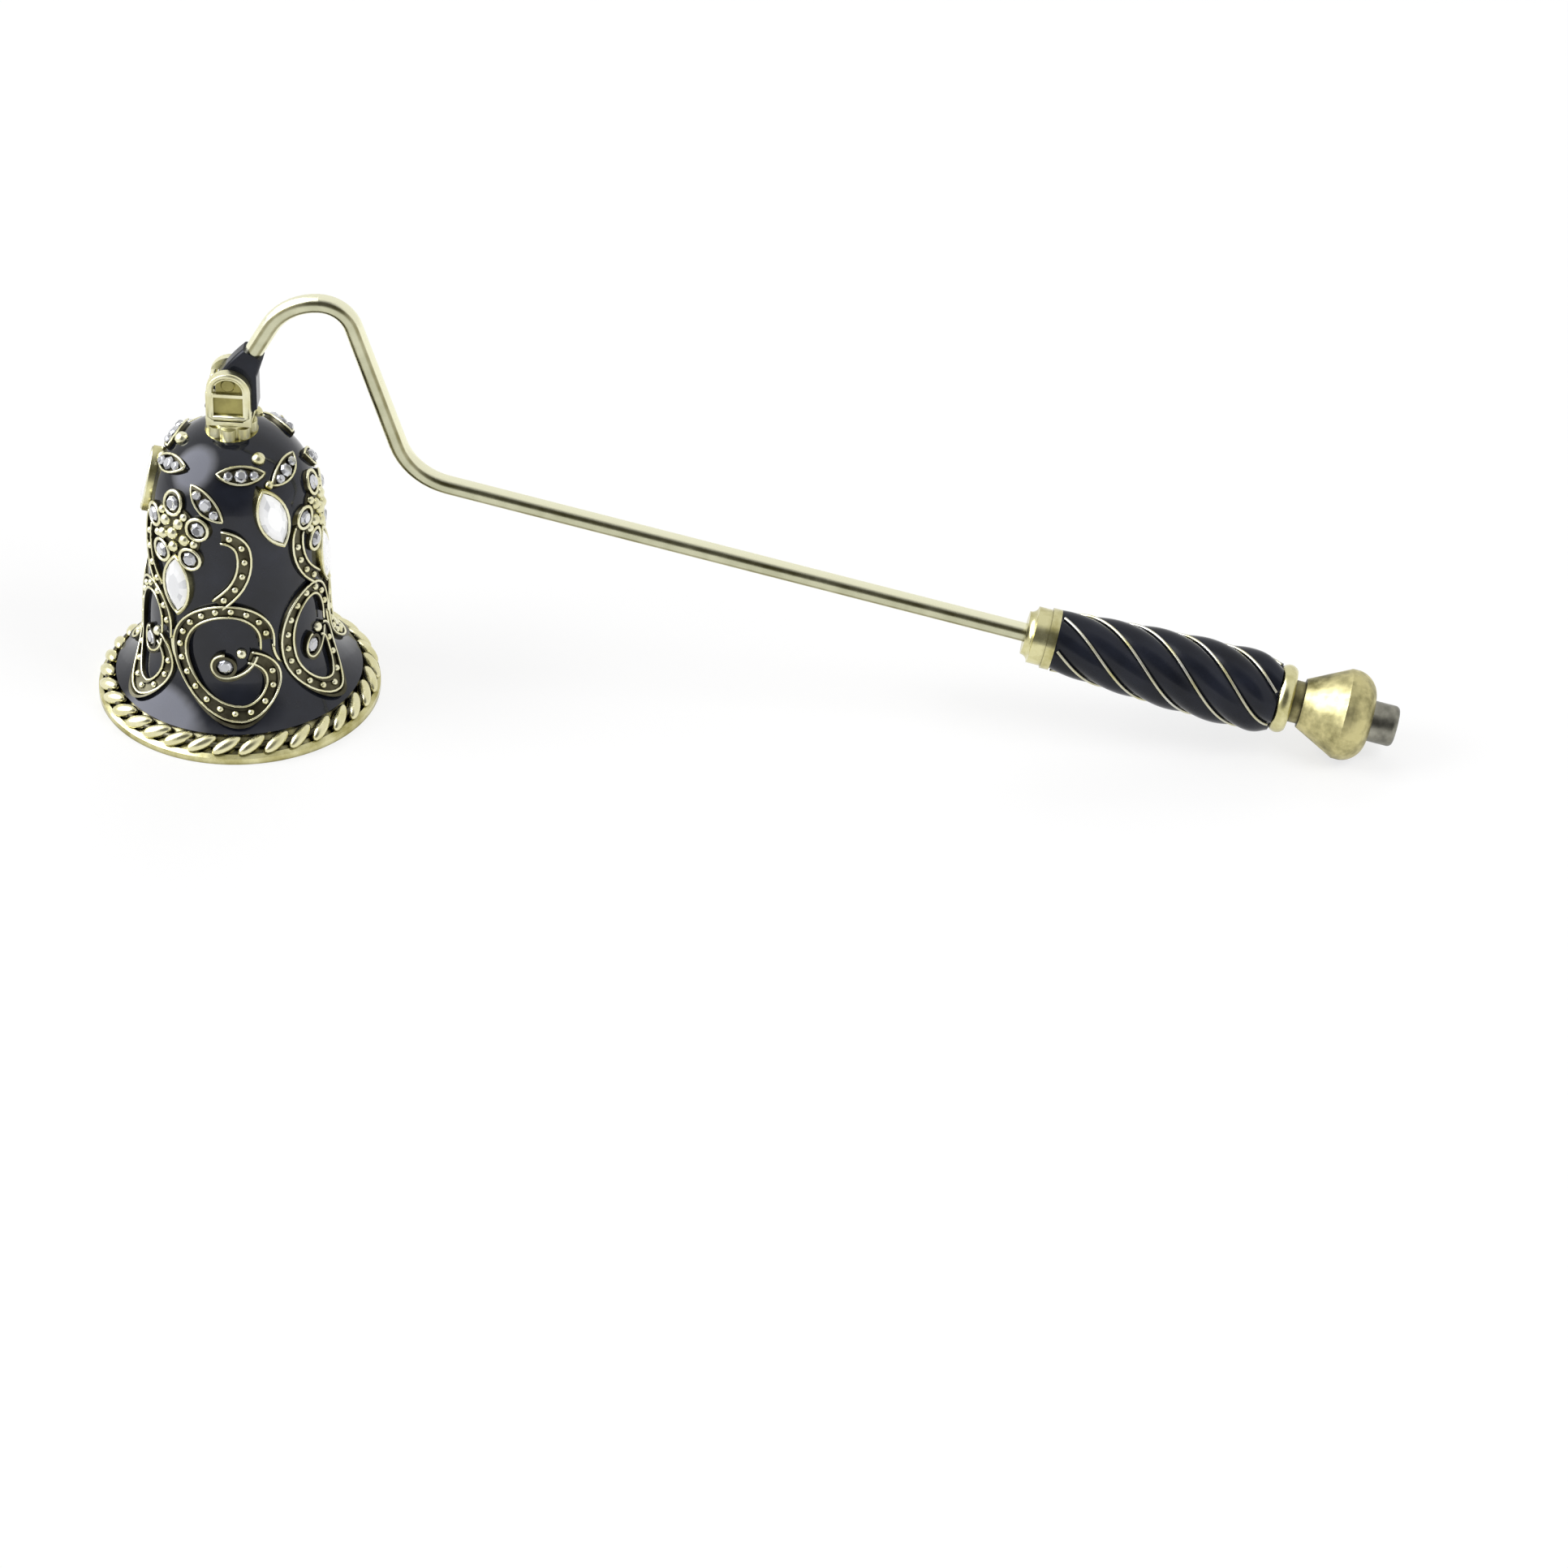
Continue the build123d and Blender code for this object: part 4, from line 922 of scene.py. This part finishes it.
def add_round_stone(bm, matrix, size, height):
    """Cut a round stone: a girdle, eight kite facets and a table."""
    girdle = height * GIRDLE_SHARE * MM
    radius = size / 2 * MM
    bottom = bmesh.ops.create_cone(
        bm, cap_ends=True, segments=FACETS, radius1=radius, radius2=radius, depth=girdle,
        matrix=matrix @ Matrix.Translation((0, 0, girdle / 2)),
    )
    tops = [face for vert in bottom["verts"] for face in vert.link_faces]
    axis = matrix.to_3x3() @ UP
    table = max(set(tops), key=lambda face: face.calc_center_median().dot(axis))
    middle = table.calc_center_median()
    for inset, rise in CROWN_ROWS:
        bmesh.ops.inset_region(bm, faces=[table], thickness=size * inset * MM, depth=height * rise * MM)
    turn = Matrix.Rotation(pi / FACETS, 4, axis)
    turn = Matrix.Translation(middle) @ turn @ Matrix.Translation(-middle)
    bmesh.ops.transform(bm, matrix=turn, verts=table.verts)


def round_stones():
    """List the round stones: name, node, size, lift and places."""
    o = ornament()
    stone = (STONE_SHARE[0] * o.scroll_size, o.scroll_height + STONE_SHARE[1] * o.scroll_size)
    radius = bell_face(stone[1])[0]
    medallions = []
    for number, stretch in enumerate((1, o.narrow_stretch)):
        across = degrees(asin(stone[0] * stretch / radius))
        medallions.append((o.scroll_turn + across + 180 * number / SECTORS, stone[1]))
    flowers = []
    for across, up in petal_places(o.petal_reach):
        height = o.flower_height + up
        flowers.append((o.flower_turn + degrees(asin(across / bell_face(height)[0])), height))
    return (
        ("medallion_stones", "medallion_crystals", o.medallion_stone, STONE_LIFT, medallions),
        ("flower_stones", "flower_crystals", o.flower_stone, PLATE_LIFT, flowers),
    )


class SnufferStones(bpy.types.Operator):
    """Cut the round and the pointed-oval stones"""

    bl_idname = "snuffer.stones"
    bl_label = "Stones"

    def execute(self, context):
        o = ornament()
        for name, node, size, lift, places in round_stones():
            bm = bmesh.new()
            for index, (azimuth, height) in enumerate(round_bell(places)):
                turn = SECTOR_TURN * (index // len(places))
                add_round_stone(bm, bell_matrix(azimuth, height, lift, turn), size, STONE_HEIGHT)
            finish_stones(bm, name, node, size)
        bm = bmesh.new()
        for azimuth, height, turn in round_bell(LEAVES):
            matrix = bell_matrix(azimuth, height, PLATE_LIFT, turn)
            for step, size in ((-1, o.leaf_stone), (0, o.leaf_heart), (1, o.leaf_stone)):
                place = matrix @ Matrix.Translation((step * o.leaf_pitch * MM, 0, 0))
                add_round_stone(bm, place, size, LEAF_STONE_HEIGHT)
        finish_stones(bm, "leaf_stones", "leaf_crystals", LEAF_SEED)
        bm = bmesh.new()
        for azimuth, height, turn in round_bell(GEMS):
            matrix = bell_matrix(azimuth, height, GEM_LIFT, turn + 90)
            add_gem(bm, matrix, o.gem_length, o.gem_width)
        finish_stones(bm, "navette_stones", "navette_crystals", GEM_SEED, "pale_crystal")
        return {"FINISHED"}


def add_gem(bm, matrix, length, width):
    """Cut a pointed-oval stone: a girdle, two rows of facets and a table."""
    outline = pointed_oval(length, width, GEM_STEPS)
    ring = bmesh.ops.create_circle(bm, cap_ends=True, radius=1, segments=len(outline))
    for vert, (x, y) in zip(ring["verts"], outline):
        vert.co = Vector((x * MM, y * MM, 0))
    girdle = list({face for vert in ring["verts"] for face in vert.link_faces})
    raised = bmesh.ops.extrude_face_region(bm, geom=girdle)["geom"]
    top = pick(raised, bmesh.types.BMFace)[0]
    bmesh.ops.translate(bm, verts=top.verts, vec=(0, 0, GEM_GIRDLE * MM))
    if top.normal.z < 0:
        top.normal_flip()
    every = set(ring["verts"]) | set(top.verts)
    for share, rise in GEM_ROWS:
        raised = bmesh.ops.extrude_face_region(bm, geom=[top])["geom"]
        if top.is_valid:
            bmesh.ops.delete(bm, geom=[top], context="FACES_ONLY")
        top = pick(raised, bmesh.types.BMFace)[0]
        bmesh.ops.scale(bm, verts=top.verts, vec=(share, share, 1))
        bmesh.ops.translate(bm, verts=top.verts, vec=(0, 0, rise * MM))
        every |= set(top.verts)
    bmesh.ops.transform(bm, matrix=matrix, verts=list(every))


SETTING_MARGIN = (0.9, 0.45)
SETTING_LIFT = 0.75
SETTING_WIDTH = 0.48


class SnufferSettings(bpy.types.Operator):
    """Lay a round rim on the setting of each large stone"""

    bl_idname = "snuffer.settings"
    bl_label = "Setting rims"

    def execute(self, context):
        o = ornament()
        bm = bmesh.new()
        outline = pointed_oval(o.gem_length + SETTING_MARGIN[0], o.gem_width + SETTING_MARGIN[1])
        for azimuth, height, turn in round_bell(GEMS):
            matrix = bell_matrix(azimuth, height, SETTING_LIFT, turn + 90)
            normal = matrix.to_3x3() @ UP
            path = [(matrix @ Vector((x * MM, y * MM, 0)), normal) for x, y in outline]
            run_tube(bm, path, SETTING_WIDTH, closed=True)
        finish_trim(bm, "setting_rims")
        return {"FINISHED"}


# Rope border, sprig beads and the yoke's frames


def rope_matrix(around):
    """Lay a frame on the rope's middle line: along a lobe, across it and outward."""
    r = rope()
    out = Vector((cos(around), sin(around), 0))
    tangent = Vector((-sin(around), cos(around), 0))
    climb = lean(-out, UP, r.rise)
    lay = lean(tangent, climb, r.lean)
    normal = tangent.cross(climb)
    centre = Vector((r.radius * cos(around), r.radius * sin(around), r.height)) * MM
    return frame_at(centre, lay, normal.cross(lay), normal)


LOBE_SIDES = 16
LOBE_RINGS = 12
CORE_PLACES = 96


class SnufferRope(bpy.types.Operator):
    """Twist the rope border from rounded lobes on a dark core"""

    bl_idname = "snuffer.rope"
    bl_label = "Rope border"

    def execute(self, context):
        r = rope()
        bm = bmesh.new()
        size = Matrix.Diagonal((r.lobe / 2, r.strand / 2, r.strand / 2, 1))
        for turn in full_turn(r.count):
            add_bead(bm, rope_matrix(turn) @ size, 2, LOBE_SIDES, LOBE_RINGS)
        finish_trim(bm, "rope_lobes", "rope", ["rope_border"])
        bm = bmesh.new()
        path = []
        for turn in full_turn(CORE_PLACES):
            matrix = rope_matrix(turn)
            path.append((matrix.translation, matrix.to_3x3() @ UP))
        run_tube(bm, path, r.core, closed=True)
        finish_trim(bm, "rope_core", "floor")
        return {"FINISHED"}


SPRIG_LIFT = 0.12
SPRIG_COVER = 0.06
SPRIG_SIDES = 16


class SnufferSprigs(bpy.types.Operator):
    """Set the round beads of the crown's sprigs"""

    bl_idname = "snuffer.sprigs"
    bl_label = "Sprig beads"

    def execute(self, context):
        bm = bmesh.new()
        for azimuth, height, size in round_bell(SPRIG_BEADS):
            matrix = bell_matrix(azimuth, height, SPRIG_LIFT)
            add_bead(bm, matrix, size + SPRIG_COVER, SPRIG_SIDES)
        finish_trim(bm, "sprig_beads")
        return {"FINISHED"}


ARCH_STEPS = 16
FRAME_CORNER = (0.5, 0.3)
FRAME_STAND = 0.22
FRAME_SIDES = 12
NOTCH_REACH = 2.05
FIELD_THICKNESS = 0.06
MERGE_REACH = 1e-6


def arch_line(radius, low, high):
    """List places along the ear's arch, from an angle to another."""
    line = []
    for number in range(ARCH_STEPS + 1):
        angle = low + (high - low) * number / ARCH_STEPS
        line.append((radius * cos(angle), yoke().centre + radius * sin(angle)))
    return line


class SnufferYokeFrames(bpy.types.Operator):
    """Round the frames of the yoke's two ears and tone their fields"""

    bl_idname = "snuffer.yoke_frames"
    bl_label = "Yoke frames"

    def execute(self, context):
        y = yoke()
        bm = bmesh.new()
        across, up = FRAME_CORNER
        line = arch_line(y.radius, 0, pi)
        line += [(-y.radius, y.foot + up), (-y.radius + across, y.foot)]
        line += [(y.radius - across, y.foot), (y.radius, y.foot + up)]
        for side in (-1, 1):
            level = side * (y.face - y.width / 2 + FRAME_STAND)
            path = [(Vector((x, level, z)) * MM, Vector((0, side, 0))) for x, z in line]
            run_tube(bm, path, y.width, sides=FRAME_SIDES, closed=True)
        finish_trim(bm, "yoke_frames", "yoke")
        bm = bmesh.new()
        low = asin((y.bar_top - y.centre) / y.field)
        arch = [(max(x, -NOTCH_REACH), z) for x, z in arch_line(y.field, low, pi - low)]
        base = y.foot + up
        panel = [(-y.field, base), (y.field, base), (y.field, y.bar_low), (-y.field, y.bar_low)]
        for side in (-1, 1):
            for outline in (arch, panel):
                verts = [bm.verts.new((x * MM, side * y.floor * MM, z * MM)) for x, z in outline]
                face = bm.faces.new(verts)
                raised = bmesh.ops.extrude_face_region(bm, geom=[face])["geom"]
                moved = pick(raised, bmesh.types.BMVert)
                bmesh.ops.translate(bm, verts=moved, vec=(0, side * FIELD_THICKNESS * MM, 0))
        bmesh.ops.remove_doubles(bm, verts=bm.verts, dist=MERGE_REACH)
        finish_trim(bm, "yoke_fields", "field", smooth=False)
        return {"FINISHED"}


# Stage


FLOOR_HALF = 4
FLOOR_DROP = 0.00005
LAMPS = (
    ("left_softbox", (-1.0, -0.2, 0.85), 0.7, 8.0),
    ("right_softbox", (0.8, -0.35, 0.8), 0.5, 5.0),
    ("back_softbox", (0.1, 0.9, 0.9), 0.6, 2.5),
)
AIM = (0.06, 0, 0.03)


class SnufferStage(bpy.types.Operator):
    """Set the pale floor, the soft lights and the photograph's camera"""

    bl_idname = "snuffer.stage"
    bl_label = "Stage"

    def execute(self, context):
        scene = context.scene
        scene.view_settings.view_transform = "Standard"
        bm = bmesh.new()
        bmesh.ops.create_grid(bm, x_segments=1, y_segments=1, size=FLOOR_HALF)
        bmesh.ops.translate(bm, verts=bm.verts, vec=(0, 0, -FLOOR_DROP))
        floor = make_object(bm, "floor", floor_finish())
        build_world(scene)
        for lamp in LAMPS:
            add_lamp(*lamp)
        add_camera(scene)
        return {"FINISHED"}


def seen_rays(tree):
    """Give a value of one where a camera, glossy or transmission ray looks."""
    rays = tree.nodes.new("ShaderNodeLightPath")
    total = rays.outputs["Is Camera Ray"]
    for name in ("Is Glossy Ray", "Is Transmission Ray"):
        total = add_math(tree, "MAXIMUM", total, rays.outputs[name])
    return total


FLOOR_GLOW = 0.72
AMBIENT = 0.55
SOFTBOX_SIDE = (-0.75, -0.1, 0.63)
SOFTBOX_GLOW = 7.5
SOFTBOX_TINT = (0.86, 0.88, 1.0)
ROOM_SIDE = (0.09, -0.82, 0.57)
ROOM_TONE = 0.16
ROOM_LIGHT = 0.88


def floor_finish():
    """Make a pale floor that keeps a soft shadow and shows nearly white."""
    material, tree, shader = new_finish("pale_floor")
    paint = (*colours().floor, 1)
    set_inputs(shader, {"Base Color": paint, "Roughness": 0.9, "Specular IOR Level": 0.0})
    output = next(node for node in tree.nodes if node.type == "OUTPUT_MATERIAL")
    glow = tree.nodes.new("ShaderNodeEmission")
    share = add_math(tree, "MULTIPLY", seen_rays(tree), FLOOR_GLOW)
    mixed = blend_shaders(tree, share, shader.outputs[0], glow.outputs[0])
    tree.links.new(mixed, output.inputs["Surface"])
    return material


def add_patch(tree, direction, stops):
    """Shade the surround by how near a ray runs to a fixed direction."""
    place = tree.nodes.new("ShaderNodeTexCoord")
    near = tree.nodes.new("ShaderNodeVectorMath")
    near.operation = "DOT_PRODUCT"
    tree.links.new(place.outputs["Generated"], near.inputs[0])
    near.inputs[1].default_value = Vector(direction).normalized()
    return add_ramp(tree, near.outputs["Value"], stops)


def build_world(scene):
    """Light the scene from a white surround; metal and glass see a softbox and a dim room in it."""
    world = bpy.data.worlds.new("white_surround")
    scene.world = world
    world.use_nodes = True
    tree = world.node_tree
    rays = tree.nodes.new("ShaderNodeLightPath")
    lamp = next(node for node in tree.nodes if node.type == "BACKGROUND")
    set_inputs(lamp, {"Color": (1, 1, 1, 1), "Strength": AMBIENT})
    mirror = tree.nodes.new("ShaderNodeBackground")
    room = add_patch(tree, ROOM_SIDE, [(0.70, grey(ROOM_LIGHT)), (0.93, grey(ROOM_TONE))])
    soft = add_patch(tree, SOFTBOX_SIDE, [(0.82, grey(0)), (0.93, grey(1))])
    bright = add_mix(tree, soft, room, SOFTBOX_TINT)
    tree.links.new(bright, mirror.inputs["Color"])
    glow = tree.nodes.new("ShaderNodeMapRange")
    set_inputs(glow, {"To Min": 1.0, "To Max": SOFTBOX_GLOW})
    tree.links.new(soft, glow.inputs["Value"])
    tree.links.new(glow.outputs["Result"], mirror.inputs["Strength"])
    seen = tree.nodes.new("ShaderNodeBackground")
    seen.inputs["Color"].default_value = (1, 1, 1, 1)
    output = next(node for node in tree.nodes if node.type == "OUTPUT_WORLD")
    mixed = lamp.outputs[0]
    sources = (("Is Glossy Ray", mirror), ("Is Transmission Ray", seen), ("Is Camera Ray", seen))
    for ray, source in sources:
        mixed = blend_shaders(tree, rays.outputs[ray], mixed, source.outputs[0])
    tree.links.new(mixed, output.inputs["Surface"])


def add_lamp(name, place, size, watts):
    """Aim a square soft lamp at the object."""
    lamp = bpy.data.lights.new(name, "AREA")
    lamp.size = size
    lamp.energy = watts
    holder = bpy.data.objects.new(name, lamp)
    holder.location = place
    aim = Vector(AIM) - holder.location
    holder.rotation_euler = aim.to_track_quat("-Z", "Y").to_euler()
    holder.visible_glossy = False
    bpy.context.scene.collection.objects.link(holder)


CAMERA_PLACE = (0.263907, -1.585444, 1.0832)
CAMERA_AZIMUTH = 6.1457
CAMERA_ELEVATION = 34.5201
CAMERA_LENS = 260.87
SENSOR_WIDTH = 36
NEAR_CLIP = 0.05


def add_camera(scene):
    """Place the camera where the photograph's stood."""
    camera = bpy.data.cameras.new("photo_camera")
    camera.lens = CAMERA_LENS
    camera.sensor_width = SENSOR_WIDTH
    camera.clip_start = NEAR_CLIP
    holder = bpy.data.objects.new("photo_camera", camera)
    holder.location = CAMERA_PLACE
    side = radians(CAMERA_AZIMUTH)
    rise = radians(CAMERA_ELEVATION)
    sight = Vector((-sin(side) * cos(rise), cos(side) * cos(rise), -sin(rise)))
    holder.rotation_euler = sight.to_track_quat("-Z", "Y").to_euler()
    scene.collection.objects.link(holder)
    scene.camera = holder


class SnufferPanel(bpy.types.Panel):
    """Lists the snuffer's steps, sizes and colours"""

    bl_idname = "VIEW3D_PT_snuffer"
    bl_label = "Candle snuffer"
    bl_space_type = "VIEW_3D"
    bl_region_type = "UI"
    bl_category = "Snuffer"

    def draw(self, context):
        for step in STEPS:
            self.layout.operator(step.bl_idname)
        for holder in GROUPS:
            group = getattr(context.scene, holder)
            box = self.layout.box()
            for name in group.bl_rna.properties.keys():
                if name not in ("rna_type", "name"):
                    box.prop(group, name)


STEPS = (
    SnufferFinishes, SnufferEnamel, SnufferRope, SnufferSprigs, SnufferYokeFrames, SnufferScrolls,
    SnufferStems, SnufferFlowers, SnufferSettings, SnufferStones, SnufferStage,
)
GROUPS = {
    "snuffer_bell": SnufferBell,
    "snuffer_ornament": SnufferOrnament,
    "snuffer_rope": SnufferRopeSizes,
    "snuffer_yoke": SnufferYoke,
    "snuffer_colours": SnufferColours,
}
CLASSES = tuple(GROUPS.values()) + STEPS + (SnufferPanel,)


def register():
    for entry in CLASSES:
        bpy.utils.register_class(entry)
    for holder, group in GROUPS.items():
        setattr(bpy.types.Scene, holder, PointerProperty(type=group))


def unregister():
    for holder in reversed(GROUPS):
        delattr(bpy.types.Scene, holder)
    for entry in reversed(CLASSES):
        bpy.utils.unregister_class(entry)


def main():
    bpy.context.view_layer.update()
    register()
    bpy.ops.snuffer.finishes()
    bpy.ops.snuffer.enamel()
    bpy.ops.snuffer.rope()
    bpy.ops.snuffer.sprigs()
    bpy.ops.snuffer.yoke_frames()
    bpy.ops.snuffer.scrolls()
    bpy.ops.snuffer.stems()
    bpy.ops.snuffer.flowers()
    bpy.ops.snuffer.settings()
    bpy.ops.snuffer.stones()
    bpy.ops.snuffer.stage()


if __name__ == "__main__":
    main()
